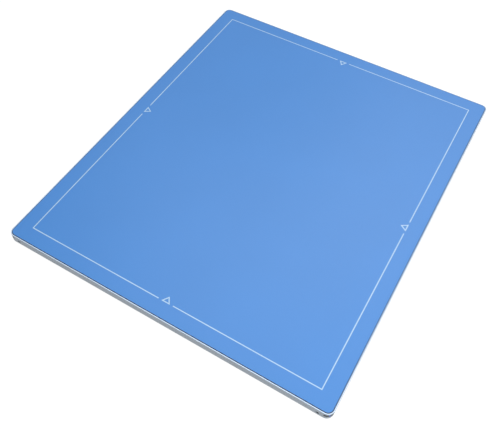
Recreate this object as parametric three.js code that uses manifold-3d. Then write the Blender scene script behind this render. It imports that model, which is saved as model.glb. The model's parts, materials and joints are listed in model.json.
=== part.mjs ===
import * as THREE from 'three';
import { mergeVertices } from 'three/addons/utils/BufferGeometryUtils.js';
import Module from 'manifold-3d';

// A flat wireless x-ray detector in the 35 x 43 cm cassette size. All lengths are in millimetres.
// It lies on its rear face. X runs along its short side, Y along its long side and Z up to its front face.

// Whole panel
const panelWidth = 384;
const panelLength = 460;
const panelHeight = 15;
const cornerRadius = 7.5;
const clearance = 0.3;
const overrun = 1;

// Front: printed film on a carbon fibre plate, seated on an adhesive ring
const filmThickness = 0.2;
const filmInset = 0.6;
const plateThickness = 1.5;
const plateProud = 0.3;
const plateEdgeBevel = 0.2;
const sealThickness = 0.3;
const sealWidth = 3;

// Frame
const frameWall = 2.6;
const bezelWidth = 1;
const bezelChamfer = 0.35;
const ledgeReach = 3.4;
const ledgeThickness = 1.3;
const bossHalfWidth = 4;

// Sensor stack under the plate
const foamThickness = 0.6;
const scintillatorThickness = 0.6;
const glassThickness = 0.7;
const shieldThickness = 0.4;
const basePlateThickness = 1.4;
const scintillatorInset = 8.5;
const glassInset = 4;
const basePlateInset = 4.4;
const basePlateRadius = 3;

// Boards under the base plate
const boardThickness = 1.2;
const boardStandoff = 1;
const standoffSize = 4;
const boardEdgeInset = 6;
const flexThickness = 0.2;
const flexGap = 0.5;
const flexBond = 3.6;
const flexBarWidth = 4;
const stripWidth = 18;
const readoutStripCount = 10;
const gateStripCount = 8;
const readoutBoardLength = 34;
const readoutBoardWidthShare = 0.82;
const gateBoardWidth = 26;
const gateBoardLengthShare = 0.62;
const boardInFromGlass = 4;
const mainBoardWidth = 230;
const mainBoardXShare = 0.04;
const mainBoardGap = 52;
const mainBoardInset = 44;
const powerBoardLength = 110;
const powerBoardGap = 6;
const powerBoardInset = 31;
const canWidth = 62;
const canLength = 46;
const canHeight = 2.8;
const canWall = 0.4;
const canXShare = -0.22;
const canYShare = 0.1;
const radioWidth = 30;
const radioLength = 20;
const radioBoardThickness = 0.8;
const radioCanHeight = 1.6;
const radioCanInset = 3;
const radioXShare = 0.28;
const radioYShare = 0.24;
const chipHeight = 1.3;
const chipSize = 16;
const coilSize = 12;
const coilHeight = 3;

// Rear cover
const rimHeight = 4.7;
const rimWidth = 5.4;
const rearChamfer = 4.2;
const coverSkin = 1.4;
const gasketThickness = 0.3;
const gasketWidth = 1.7;
const gasketInset = 0.6;
const ribThickness = 1.2;
const ribHeight = 1.4;
const ribShares = [-0.28, 0, 0.28];
const labelWidth = 104;
const labelLength = 62;
const labelRadius = 3;
const labelDepth = 0.25;
const labelYShare = 0.29;
const gripWidth = 110;
const gripLength = 15;
const gripDepth = 0.6;
const gripInset = 34;

// Screws
const rearScrewInset = 10;
const rearScrewCornerInset = 30;
const rearHeadRadius = 2.4;
const rearHeadHeight = 0.8;
const rearHeadSunk = 0.2;
const rearShankRadius = 1;
const sideScrewInset = 13.5;
const sideScrewHeight = 7.9;
const sideHeadRadius = 1.5;
const sideHeadHeight = 0.7;
const sideHeadSunk = 0.3;
const sideShankRadius = 0.9;
const driveDepth = 0.45;
const driveShare = 0.45;
const lugHalfWidth = 3.5;
const lugRise = 2.4;

// Corner guards and the status lens
const guardDepth = 1;
const guardBottom = 8.4;
const guardTop = 12.6;
const lensRadius = 0.9;
const lensLength = 3.4;
const lensHeight = 10.6;
const lensTurn = -Math.PI / 4;

// Controls and tether port on the +X side
const controlHeight = 8.2;
const flangeThickness = 1;
const tetherPlaceShare = -0.33;
const tetherLength = 30;
const tetherHeight = 5.4;
const tetherRadius = 1.2;
const tetherFlangeBorder = 1.3;
const tetherFlangeRise = 0.3;
const tetherRecess = 1.2;
const ringThickness = 0.5;
const ringBorder = 0.5;
const ringWidth = 2.2;
const ringRim = 0.7;
const contactCarrier = 0.2;
const contactProud = 0.25;
const contactCount = 10;
const contactStep = 2;
const contactWidth = 1.1;
const windowStep = 32;
const windowLength = 16;
const windowHeight = 2.4;
const windowBorder = 1.2;
const guideTail = 2.4;
const buttonStep = 24;
const buttonLength = 13;
const buttonHeight = 4.4;
const buttonTravel = 0.5;
const buttonSunk = 0.2;
const buttonBorder = 1;
const buttonSealThickness = 1;
const buttonNub = 1.2;
const buttonNubRadius = 1.5;
const switchLength = 7;
const switchHeight = 3;
const switchDepth = 5.4;
const plungerRadius = 1.2;
const plungerLength = 0.8;
const sideBoardWidth = 23;
const sideBoardInset = 7.4;
const sideBoardBorder = 14;
const switchDrop = 1.8;
const ledSize = 2;
const ledHeight = 1.8;

// Radio windows and antennas in the +Y side
const antennaPlaceShare = 0.27;
const antennaWindowLength = 44;
const antennaWindowHeight = 5;
const antennaWindowSunk = 0.2;
const antennaBorder = 1.2;
const antennaLength = 40;
const antennaHeight = 4.6;
const antennaThickness = 0.8;

// Battery
const batteryWidthShare = 0.55;
const batteryLengthShare = 0.26;
const batteryHeight = 6.4;
const batteryRadius = 6;
const batterySunk = 0.2;
const batteryPlaceShare = -0.163;
const batteryLidThickness = 1.2;
const batteryWall = 1.5;
const batteryRoof = 0.9;
const bayWall = 1.2;
const bayRoof = 1;
const cellGap = 2;
const cellStrip = 20;
const batteryBoardLength = 13;
const batteryBoardWidth = 88;
const batteryBoardThickness = 0.8;
const padBlockWidth = 34;
const padBlockLength = 6;
const socketBorder = 2.5;
const socketFlange = 1;
const socketReach = 1;
const socketPadCount = 8;
const socketPadStep = 4;
const socketPadSize = 1.6;
const socketPadHeight = 0.3;

// Battery latches
const latchPlaceShare = 0.29;
const latchTravel = 4;
const latchPadWidth = 22;
const latchPadLength = 8;
const latchPadSunk = 0.3;
const latchRidgeCount = 3;
const latchRidgeDepth = 0.35;
const latchRidgeWidth = 0.9;
const latchPlateThickness = 1.6;
const latchPlateBorder = 2.5;
const latchOffset = 3;
const tongueWidth = 12;
const tongueThickness = 1.2;
const tongueReach = 3;
const notchFloor = 0.4;
const keeperWall = 1;
const springLength = 8.4;
const springThickness = 0.35;
const springWidth = 10;
const springFolds = 6;

// Rounding of the curves
const arcSteps = 4;
const roundSteps = 20;
const smallSteps = 12;

// Places worked out from the sizes
const halfWidth = panelWidth / 2;
const halfLength = panelLength / 2;
const frameTop = panelHeight - plateProud;
const plateTop = panelHeight - filmThickness;
const plateBottom = plateTop - plateThickness;
const ledgeTop = plateBottom - sealThickness;
const ledgeBottom = ledgeTop - ledgeThickness;
const frameBottom = rimHeight + gasketThickness;
const wallX = halfWidth - frameWall;
const wallY = halfLength - frameWall;
const ledgeX = wallX - ledgeReach;
const ledgeY = wallY - ledgeReach;
const pocketRadius = cornerRadius - bezelWidth;
const plateGap = bezelWidth + clearance;
const foamBottom = plateBottom - foamThickness;
const scintillatorBottom = foamBottom - scintillatorThickness;
const glassBottom = scintillatorBottom - glassThickness;
const shieldBottom = glassBottom - shieldThickness;
const baseBottom = shieldBottom - basePlateThickness;
const baseX = wallX - basePlateInset;
const baseY = wallY - basePlateInset;
const glassWidth = 2 * (baseX - glassInset);
const glassLength = 2 * (baseY - glassInset);
const scintillatorWidth = 2 * (baseX - scintillatorInset);
const scintillatorLength = 2 * (baseY - scintillatorInset);
const boardTop = baseBottom - boardStandoff;
const boardBottom = boardTop - boardThickness;
const coverCavityX = halfWidth - rimWidth;
const coverCavityY = halfLength - rimWidth;

const batteryWidth = batteryWidthShare * panelWidth;
const batteryLength = batteryLengthShare * panelLength;
const batteryY = batteryPlaceShare * panelLength;
const batteryEdgeX = batteryWidth / 2;
const batteryTopY = batteryY + batteryLength / 2;
const batteryTop = batterySunk + batteryHeight;
const batteryLidTop = batterySunk + batteryLidThickness;
const bayRoofBottom = batteryTop + clearance;
const bayRoofTop = bayRoofBottom + bayRoof;
const bayEdgeX = batteryEdgeX + clearance + bayWall;
const bayTopY = batteryTopY + clearance + bayWall;
const socketY = batteryTopY - batteryWall - cellStrip / 2;
const latchX = latchPlaceShare * batteryWidth;
const latchPlateBottom = coverSkin + clearance;
const latchPlateTop = latchPlateBottom + latchPlateThickness;
const latchSlotStart = bayTopY + latchOffset;
const latchSlotEnd = latchSlotStart + latchPadLength + latchTravel + 2 * clearance;
const latchPlateX = latchPadWidth / 2 + latchPlateBorder;
const latchPlateStart = bayTopY + clearance;
const latchPlateEnd = latchSlotEnd + clearance;
const springStart = latchPlateEnd + clearance;
const keeperStop = springStart + springLength + clearance;
const tongueBottom = batteryLidTop + notchFloor + clearance;

const tetherY = tetherPlaceShare * panelLength;
const windowY = tetherY + windowStep;
const buttonY = windowY + buttonStep;
const sideBoardTop = controlHeight - switchDrop;
const sideBoardX = halfWidth - sideBoardInset - sideBoardWidth / 2 - frameWall;
const antennaX = antennaPlaceShare * panelWidth;

const rearScrewPlaces = [
  [halfWidth - rearScrewInset, halfLength - rearScrewCornerInset],
  [halfWidth - rearScrewInset, 0],
  [halfWidth - rearScrewInset, rearScrewCornerInset - halfLength],
  [0, rearScrewInset - halfLength],
  [rearScrewInset - halfWidth, rearScrewCornerInset - halfLength],
  [rearScrewInset - halfWidth, 0],
  [rearScrewInset - halfWidth, halfLength - rearScrewCornerInset],
  [0, halfLength - rearScrewInset],
];

// Colours and finishes
const finish = (color, roughness, metalness) =>
  new THREE.MeshStandardMaterial({ color, roughness, metalness });
const blueFilm = finish(0x5c95dc, 0.45, 0);
const carbonPlate = finish(0x2f5686, 0.5, 0);
const bareAluminium = finish(0xb9c0c9, 0.35, 0.9);
const darkPolymer = finish(0x33383e, 0.6, 0);
const blueLens = finish(0x2b6cc8, 0.15, 0);
const coverPaint = finish(0xd3d7db, 0.55, 0);
const batteryPlastic = finish(0x4a5058, 0.55, 0);
const steel = finish(0x6d7278, 0.35, 1);
const darkSteel = finish(0x2e3136, 0.4, 1);
const sealRubber = finish(0x1f2225, 0.85, 0);
const greyFoam = finish(0x5b5e62, 0.95, 0);
const scintillatorWhite = finish(0xe9ebe4, 0.7, 0);
const sensorGlassFinish = finish(0x7d8f9c, 0.1, 0);
const leadGrey = finish(0x70757b, 0.6, 0.6);
const castMagnesium = finish(0x9aa0a6, 0.5, 0.8);
const circuitGreen = finish(0x1f6b45, 0.5, 0);
const filmCableAmber = finish(0xb8792a, 0.45, 0);
const gold = finish(0xd8b25a, 0.3, 1);
const clearGuide = finish(0xe6f0f4, 0.2, 0);
const buttonGrey = finish(0x7c838b, 0.5, 0);
const cellSilver = finish(0xc2c6cb, 0.35, 0.6);

// Solids
const wasm = await Module();
wasm.setup();

// A closed geometry as a solid, with its shared vertices merged and its collapsed triangles dropped
function solidFrom(geometry) {
  const bare = geometry.clone();
  bare.deleteAttribute('normal');
  bare.deleteAttribute('uv');
  const merged = mergeVertices(bare);
  const corners = [];
  const index = merged.index.array;
  for (let i = 0; i < index.length; i += 3) {
    const [a, b, c] = [index[i], index[i + 1], index[i + 2]];
    if (a !== b && b !== c && c !== a) corners.push(a, b, c);
  }
  return new wasm.Manifold(new wasm.Mesh({
    numProp: 3,
    vertProperties: new Float32Array(merged.attributes.position.array),
    triVerts: new Uint32Array(corners),
  }));
}

function geometryFrom(solid) {
  const mesh = solid.getMesh();
  const geometry = new THREE.BufferGeometry();
  geometry.setAttribute('position', new THREE.BufferAttribute(mesh.vertProperties, 3));
  geometry.setIndex(new THREE.BufferAttribute(mesh.triVerts, 1));
  geometry.computeVertexNormals();
  return geometry;
}

const join = (first, ...others) => others.reduce((whole, part) => whole.add(part), first);
const cut = (first, ...others) => others.reduce((rest, part) => rest.subtract(part), first);

// Rounded rectangle round the origin
function roundedOutline(width, length, radius) {
  const x = width / 2 - radius;
  const y = length / 2 - radius;
  const outline = new THREE.Shape();
  outline.absarc(x, y, radius, 0, Math.PI / 2);
  outline.absarc(-x, y, radius, Math.PI / 2, Math.PI);
  outline.absarc(-x, -y, radius, Math.PI, Math.PI * 1.5);
  outline.absarc(x, -y, radius, Math.PI * 1.5, Math.PI * 2);
  outline.closePath();
  return outline;
}

function extrusion(outline, depth) {
  return new THREE.ExtrudeGeometry(outline, { depth, bevelEnabled: false, curveSegments: arcSteps });
}

// Plate with its outline in the XY plane, shifted to x, y
function slab(outline, bottom, top, x = 0, y = 0) {
  return solidFrom(extrusion(outline, top - bottom).translate(x, y, bottom));
}

// Plate that runs along X from near to far, round the line y, z; its outline holds height, then length
function slabAlongX(outline, near, far, y, z) {
  return solidFrom(extrusion(outline, far - near).rotateY(Math.PI / 2).translate(near, y, z));
}

// Plate that runs along Y from near to far, round the line x, z; its outline holds width, then height
function slabAlongY(outline, near, far, x, z) {
  return solidFrom(extrusion(outline, far - near).rotateX(-Math.PI / 2).translate(x, near, z));
}

function block([x0, x1], [y0, y1], [z0, z1]) {
  const geometry = new THREE.BoxGeometry(x1 - x0, y1 - y0, z1 - z0);
  return solidFrom(geometry.translate((x0 + x1) / 2, (y0 + y1) / 2, (z0 + z1) / 2));
}

const spread = (middle, half) => [middle - half, middle + half];

// Plate with an evenly bevelled edge all round its outline, at its top or its bottom
function bevelledSlab(outline, bottom, top, bevel, atTop, steps = 1) {
  const geometry = new THREE.ExtrudeGeometry(outline, {
    depth: top - bottom,
    bevelThickness: bevel,
    bevelSize: bevel,
    bevelOffset: -bevel,
    bevelSegments: steps,
    curveSegments: arcSteps,
  });
  geometry.translate(0, 0, atTop ? bottom - bevel : bottom + bevel);
  const reach = panelWidth + panelLength;
  const spare = atTop ? [bottom - reach, bottom] : [top, top + reach];
  return cut(solidFrom(geometry), block(spread(0, reach), spread(0, reach), spare));
}

function rod(radius, bottom, top, x = 0, y = 0, steps = roundSteps) {
  const geometry = new THREE.CylinderGeometry(radius, radius, top - bottom, steps);
  return solidFrom(geometry.rotateX(Math.PI / 2).translate(x, y, (bottom + top) / 2));
}

function rodAlongX(radius, near, far, y, z) {
  const geometry = new THREE.CylinderGeometry(radius, radius, far - near, smallSteps);
  return solidFrom(geometry.rotateZ(-Math.PI / 2).translate((near + far) / 2, y, z));
}

function rodAlongY(radius, near, far, x, z) {
  const geometry = new THREE.CylinderGeometry(radius, radius, far - near, smallSteps);
  return solidFrom(geometry.translate(x, (near + far) / 2, z));
}

// Screw with its head's face at the origin and its shank up Z, with a six-sided drive in the head
function screw(headRadius, headHeight, shankRadius, length) {
  const profile = [
    new THREE.Vector2(0, 0),
    new THREE.Vector2(headRadius, 0),
    new THREE.Vector2(headRadius, headHeight),
    new THREE.Vector2(shankRadius, headHeight),
    new THREE.Vector2(shankRadius, length),
    new THREE.Vector2(0, length),
  ];
  const body = solidFrom(new THREE.LatheGeometry(profile, roundSteps).rotateX(Math.PI / 2));
  const driveSides = 6;
  return cut(body, rod(headRadius * driveShare, -overrun, driveDepth, 0, 0, driveSides));
}

// Film and plate

// The panel's outline, drawn in all round by an inset
function panelOutline(inset, radius) {
  return roundedOutline(panelWidth - 2 * inset, panelLength - 2 * inset, radius);
}

function makeFrontFilm() {
  const inset = plateGap + filmInset;
  return slab(panelOutline(inset, cornerRadius - inset), plateTop, panelHeight);
}

function makeFrontPlate() {
  const outline = panelOutline(plateGap, cornerRadius - plateGap);
  return bevelledSlab(outline, plateBottom, plateTop, plateEdgeBevel, true);
}

function makeFrontSeal() {
  const outer = plateGap + clearance;
  const inner = outer + sealWidth;
  const outline = panelOutline(outer, cornerRadius - outer);
  outline.holes.push(panelOutline(inner, cornerRadius - outer));
  return slab(outline, ledgeTop, plateBottom);
}

// Frame

// A corner's arc between two radii, round the origin, from one tangent point to the other less a margin
function cornerSector(innerRadius, outerRadius, margin, bottom, top) {
  const outline = new THREE.Shape();
  outline.absarc(0, 0, outerRadius, margin, Math.PI / 2 - margin, false);
  outline.absarc(0, 0, innerRadius, Math.PI / 2 - margin, margin, true);
  outline.closePath();
  return extrusion(outline, top - bottom).translate(0, 0, bottom);
}

// The four corners, each with the way its arc is turned
const corners = [
  { x: 1, y: 1, turn: 0 },
  { x: -1, y: 1, turn: Math.PI / 2 },
  { x: -1, y: -1, turn: Math.PI },
  { x: 1, y: -1, turn: -Math.PI / 2 },
];
const cornerX = halfWidth - cornerRadius;
const cornerY = halfLength - cornerRadius;
const lensCorner = corners[3];

function lensHole() {
  const depth = frameWall + 2 * overrun;
  const radius = lensRadius + clearance;
  const geometry = new THREE.CylinderGeometry(radius, radius, depth, smallSteps);
  geometry.rotateZ(-Math.PI / 2).translate(cornerRadius - frameWall / 2, 0, 0).rotateZ(lensTurn);
  return solidFrom(geometry.translate(lensCorner.x * cornerX, lensCorner.y * cornerY, lensHeight));
}

function makeFrame() {
  const cavity = roundedOutline(2 * wallX, 2 * wallY, cornerRadius - frameWall);
  const opening = roundedOutline(2 * ledgeX, 2 * ledgeY, cornerRadius - frameWall);
  const pocket = panelOutline(bezelWidth, pocketRadius);
  let frame = bevelledSlab(panelOutline(0, cornerRadius), frameBottom, frameTop, bezelChamfer, true);
  frame = cut(
    frame,
    slab(cavity, frameBottom - overrun, ledgeBottom),
    slab(opening, ledgeBottom - overrun, frameTop),
    slab(pocket, ledgeTop, frameTop + overrun),
  );
  for (const [x, y] of rearScrewPlaces) frame = join(frame, frameBoss(x, y));
  const holeRadius = rearShankRadius + clearance;
  for (const [x, y] of rearScrewPlaces) {
    frame = cut(frame, rod(holeRadius, frameBottom - overrun, baseBottom + overrun, x, y));
  }
  for (const corner of corners) {
    const sector = cornerSector(
      cornerRadius - guardDepth,
      cornerRadius + overrun,
      0,
      guardBottom,
      guardTop,
    );
    sector.rotateZ(corner.turn).translate(corner.x * cornerX, corner.y * cornerY, 0);
    frame = cut(frame, solidFrom(sector));
  }
  for (const place of sideScrewPlaces()) {
    const outside = place.y * (halfLength + overrun);
    const seat = place.y * (halfLength - sideHeadSunk - sideHeadHeight);
    const inside = place.y * (wallY - overrun);
    frame = cut(
      frame,
      sideHole(sideHeadRadius, seat, outside, place.x),
      sideHole(sideShankRadius, inside, seat, place.x),
    );
  }
  const controlOpenings = [
    [roundedOutline(buttonHeight, buttonLength, buttonHeight / 2), buttonY],
    [roundedOutline(windowHeight, windowLength, windowHeight / 2), windowY],
    [roundedOutline(tetherHeight, tetherLength, tetherRadius), tetherY],
  ];
  for (const [outline, y] of controlOpenings) {
    frame = cut(frame, slabAlongX(outline, wallX - overrun, halfWidth + overrun, y, controlHeight));
  }
  const antennaRadius = antennaWindowHeight / 2;
  for (const side of [-1, 1]) {
    frame = cut(
      frame,
      slabAlongY(
        roundedOutline(antennaWindowLength, antennaWindowHeight, antennaRadius),
        wallY - overrun,
        halfLength + overrun,
        side * antennaX,
        controlHeight,
      ),
    );
  }
  return cut(frame, lensHole());
}

// Hole for a side screw's head or shank, from one place along Y to another
function sideHole(radius, from, to, x) {
  return rodAlongY(radius + clearance, Math.min(from, to), Math.max(from, to), x, sideScrewHeight);
}

// Boss from the frame's wall in to a rear screw, whose top carries the base plate
function frameBoss(x, y) {
  const alongX = Math.abs(x) > 0;
  const inner = alongX ? Math.abs(x) - bossHalfWidth : Math.abs(y) - bossHalfWidth;
  const outer = alongX ? halfWidth - frameWall / 2 : halfLength - frameWall / 2;
  const sign = Math.sign(alongX ? x : y);
  const run = sign > 0 ? [inner, outer] : [-outer, -inner];
  const heights = [frameBottom, baseBottom];
  return alongX
    ? block(run, spread(y, bossHalfWidth), heights)
    : block(spread(x, bossHalfWidth), run, heights);
}

function sideScrewPlaces() {
  const x = halfWidth - sideScrewInset;
  return [
    { x: -x, y: -1 },
    { x, y: -1 },
    { x, y: 1 },
    { x: -x, y: 1 },
  ];
}

// Corner guard round the origin; it goes to its corner by its mesh's place
function makeCornerGuard(withLensHole) {
  const innerRadius = cornerRadius - guardDepth + clearance;
  const margin = clearance / innerRadius;
  const guard = solidFrom(
    cornerSector(innerRadius, cornerRadius, margin, guardBottom + clearance, guardTop - clearance),
  );
  if (!withLensHole) return guard;
  const geometry = new THREE.CylinderGeometry(
    lensRadius + clearance,
    lensRadius + clearance,
    2 * cornerRadius,
    smallSteps,
  );
  geometry.rotateZ(-Math.PI / 2).rotateZ(lensTurn - lensCorner.turn);
  const onArc = cornerRadius * Math.cos(lensTurn - lensCorner.turn);
  const acrossArc = cornerRadius * Math.sin(lensTurn - lensCorner.turn);
  return cut(guard, solidFrom(geometry.translate(onArc, acrossArc, lensHeight)));
}

function makeStatusLens() {
  const geometry = new THREE.CylinderGeometry(lensRadius, lensRadius, lensLength, smallSteps);
  geometry.rotateZ(-Math.PI / 2).translate(cornerRadius - lensLength / 2, 0, 0).rotateZ(lensTurn);
  return solidFrom(geometry);
}

// Sensor stack

function sheet(width, length, bottom, top) {
  return slab(roundedOutline(width, length, basePlateRadius), bottom, top);
}

function makeBasePlate() {
  let plate = sheet(2 * baseX, 2 * baseY, baseBottom, shieldBottom);
  for (const board of boards) {
    for (const x of [board.x0 + boardEdgeInset, board.x1 - boardEdgeInset]) {
      for (const y of [board.y0 + boardEdgeInset, board.y1 - boardEdgeInset]) {
        const post = block(
          spread(x, standoffSize / 2),
          spread(y, standoffSize / 2),
          [board.top, baseBottom + basePlateThickness / 2],
        );
        plate = join(plate, post);
      }
    }
  }
  const holeRadius = rearShankRadius + clearance;
  for (const [x, y] of rearScrewPlaces) {
    plate = cut(plate, rod(holeRadius, baseBottom - overrun, shieldBottom + overrun, x, y));
  }
  return plate;
}

// Boards

const readoutBoard = {
  x0: -(readoutBoardWidthShare * panelWidth) / 2,
  x1: (readoutBoardWidthShare * panelWidth) / 2,
  y0: boardInFromGlass - baseY,
  y1: boardInFromGlass - baseY + readoutBoardLength,
  top: boardTop,
};
const gateBoard = {
  x0: boardInFromGlass - baseX,
  x1: boardInFromGlass - baseX + gateBoardWidth,
  y0: -(gateBoardLengthShare * panelLength) / 2,
  y1: (gateBoardLengthShare * panelLength) / 2,
  top: boardTop,
};
const mainBoard = {
  x0: mainBoardXShare * panelWidth - mainBoardWidth / 2,
  x1: mainBoardXShare * panelWidth + mainBoardWidth / 2,
  y0: bayTopY + mainBoardGap,
  y1: baseY - mainBoardInset,
  top: boardTop,
};
const powerBoard = {
  x0: bayEdgeX + powerBoardGap,
  x1: baseX - powerBoardInset,
  y0: batteryY - powerBoardLength / 2,
  y1: batteryY + powerBoardLength / 2,
  top: boardTop,
};
const sideBoard = {
  x0: sideBoardX - sideBoardWidth / 2,
  x1: sideBoardX + sideBoardWidth / 2,
  y0: tetherY - sideBoardBorder,
  y1: buttonY + sideBoardBorder,
  top: sideBoardTop,
};
const boards = [readoutBoard, gateBoard, mainBoard, powerBoard, sideBoard];

const boardSlab = (board) =>
  block([board.x0, board.x1], [board.y0, board.y1], [board.top - boardThickness, board.top]);

// A flat component under a board, at shares of the board's width and length from its middle
function under(board, xShare, yShare, width, length, height) {
  const x = (board.x0 + board.x1) / 2 + xShare * (board.x1 - board.x0);
  const y = (board.y0 + board.y1) / 2 + yShare * (board.y1 - board.y0);
  const bottom = board.top - boardThickness;
  const heights = [bottom - height, bottom + boardThickness / 2];
  return block(spread(x, width / 2), spread(y, length / 2), heights);
}

const chipShares = [-0.4, -0.2, 0.2, 0.4];

function bossGap(x, y) {
  const half = bossHalfWidth + clearance;
  return block(spread(x, half), spread(y, half), [boardBottom - overrun, boardTop + overrun]);
}

function makeReadoutBoard() {
  let board = cut(boardSlab(readoutBoard), bossGap(0, rearScrewInset - halfLength));
  for (const share of chipShares) {
    board = join(board, under(readoutBoard, share, chipInShare, chipSize, chipSize, chipHeight));
  }
  return board;
}

function makeGateBoard() {
  let board = cut(boardSlab(gateBoard), bossGap(rearScrewInset - halfWidth, 0));
  for (const share of chipShares) {
    board = join(board, under(gateBoard, chipInShare, share, chipSize / 2, chipSize, chipHeight));
  }
  return board;
}

const chipInShare = 0.22;
const mainChipShares = [
  [0.12, -0.22],
  [0.3, -0.28],
  [-0.38, -0.3],
  [0.02, 0.3],
];

function makeMainBoard() {
  const chips = mainChipShares.map(([x, y]) => under(mainBoard, x, y, chipSize, chipSize, chipHeight));
  return join(boardSlab(mainBoard), ...chips);
}

const coilShares = [-0.3, 0, 0.3];

function makePowerBoard() {
  const coils = coilShares.map((share) => under(powerBoard, 0, share, coilSize, coilSize, coilHeight));
  return join(boardSlab(powerBoard), ...coils);
}

// Cup that shields the processor, open towards the board that it stands on
function makeShieldCan() {
  const x = (mainBoard.x0 + mainBoard.x1) / 2 + canXShare * mainBoardWidth;
  const y = (mainBoard.y0 + mainBoard.y1) / 2 + canYShare * (mainBoard.y1 - mainBoard.y0);
  const outer = block(
    spread(x, canWidth / 2),
    spread(y, canLength / 2),
    [boardBottom - canHeight, boardBottom],
  );
  const inner = block(
    spread(x, canWidth / 2 - canWall),
    spread(y, canLength / 2 - canWall),
    [boardBottom - canHeight + canWall, boardBottom + overrun],
  );
  return cut(outer, inner);
}

function makeRadioModule() {
  const x = (mainBoard.x0 + mainBoard.x1) / 2 + radioXShare * mainBoardWidth;
  const y = (mainBoard.y0 + mainBoard.y1) / 2 + radioYShare * (mainBoard.y1 - mainBoard.y0);
  const middle = boardBottom - radioBoardThickness;
  return join(
    block(spread(x, radioWidth / 2), spread(y, radioLength / 2), [middle, boardBottom]),
    block(
      spread(x, radioWidth / 2 - radioCanInset),
      spread(y, radioLength / 2 - radioCanInset),
      [middle - radioCanHeight, middle + radioBoardThickness / 2],
    ),
  );
}

// Film cables: strips bonded on the glass that wrap round the base plate's edge to a board's underside

// Section of a strip as distances in from the panel's middle plane and heights
function stripSection(glassEdge, baseEdge, boardEdge) {
  const outer = baseEdge + flexGap + flexThickness;
  const top = scintillatorBottom + flexThickness;
  const bottom = boardBottom - flexThickness;
  return [
    [glassEdge - flexBond, top],
    [outer, top],
    [outer, bottom],
    [boardEdge, bottom],
    [boardEdge, boardBottom],
    [outer - flexThickness, boardBottom],
    [outer - flexThickness, scintillatorBottom],
    [glassEdge - flexBond, scintillatorBottom],
  ];
}

const stripPlace = (place, count, step) => (place - (count - 1) / 2) * step;
const readoutStripStep = (readoutBoard.x1 - readoutBoard.x0) / readoutStripCount;
const gateStripStep = (gateBoard.y1 - gateBoard.y0) / gateStripCount;

function makeReadoutFlex() {
  const barEdge = baseY - boardInFromGlass - flexBarWidth;
  const section = stripSection(glassLength / 2, baseY, barEdge);
  const outline = new THREE.Shape(section.map(([out, z]) => new THREE.Vector2(-z, -out)));
  const reach = stripPlace(readoutStripCount - 1, readoutStripCount, readoutStripStep) + stripWidth / 2;
  let flex = block(
    spread(0, reach),
    [-barEdge, flexBarWidth - barEdge],
    [boardBottom - flexThickness, boardBottom],
  );
  for (let i = 0; i < readoutStripCount; i += 1) {
    const x = stripPlace(i, readoutStripCount, readoutStripStep);
    flex = join(flex, slabAlongX(outline, x - stripWidth / 2, x + stripWidth / 2, 0, 0));
  }
  return flex;
}

function makeGateFlex() {
  const barEdge = baseX - boardInFromGlass - flexBarWidth;
  const section = stripSection(glassWidth / 2, baseX, barEdge);
  const outline = new THREE.Shape(section.map(([out, z]) => new THREE.Vector2(-out, -z)));
  const reach = stripPlace(gateStripCount - 1, gateStripCount, gateStripStep) + stripWidth / 2;
  let flex = block(
    [-barEdge, flexBarWidth - barEdge],
    spread(0, reach),
    [boardBottom - flexThickness, boardBottom],
  );
  for (let i = 0; i < gateStripCount; i += 1) {
    const y = stripPlace(i, gateStripCount, gateStripStep);
    flex = join(flex, slabAlongY(outline, y - stripWidth / 2, y + stripWidth / 2, 0, 0));
  }
  return flex;
}

// Rear cover

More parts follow.
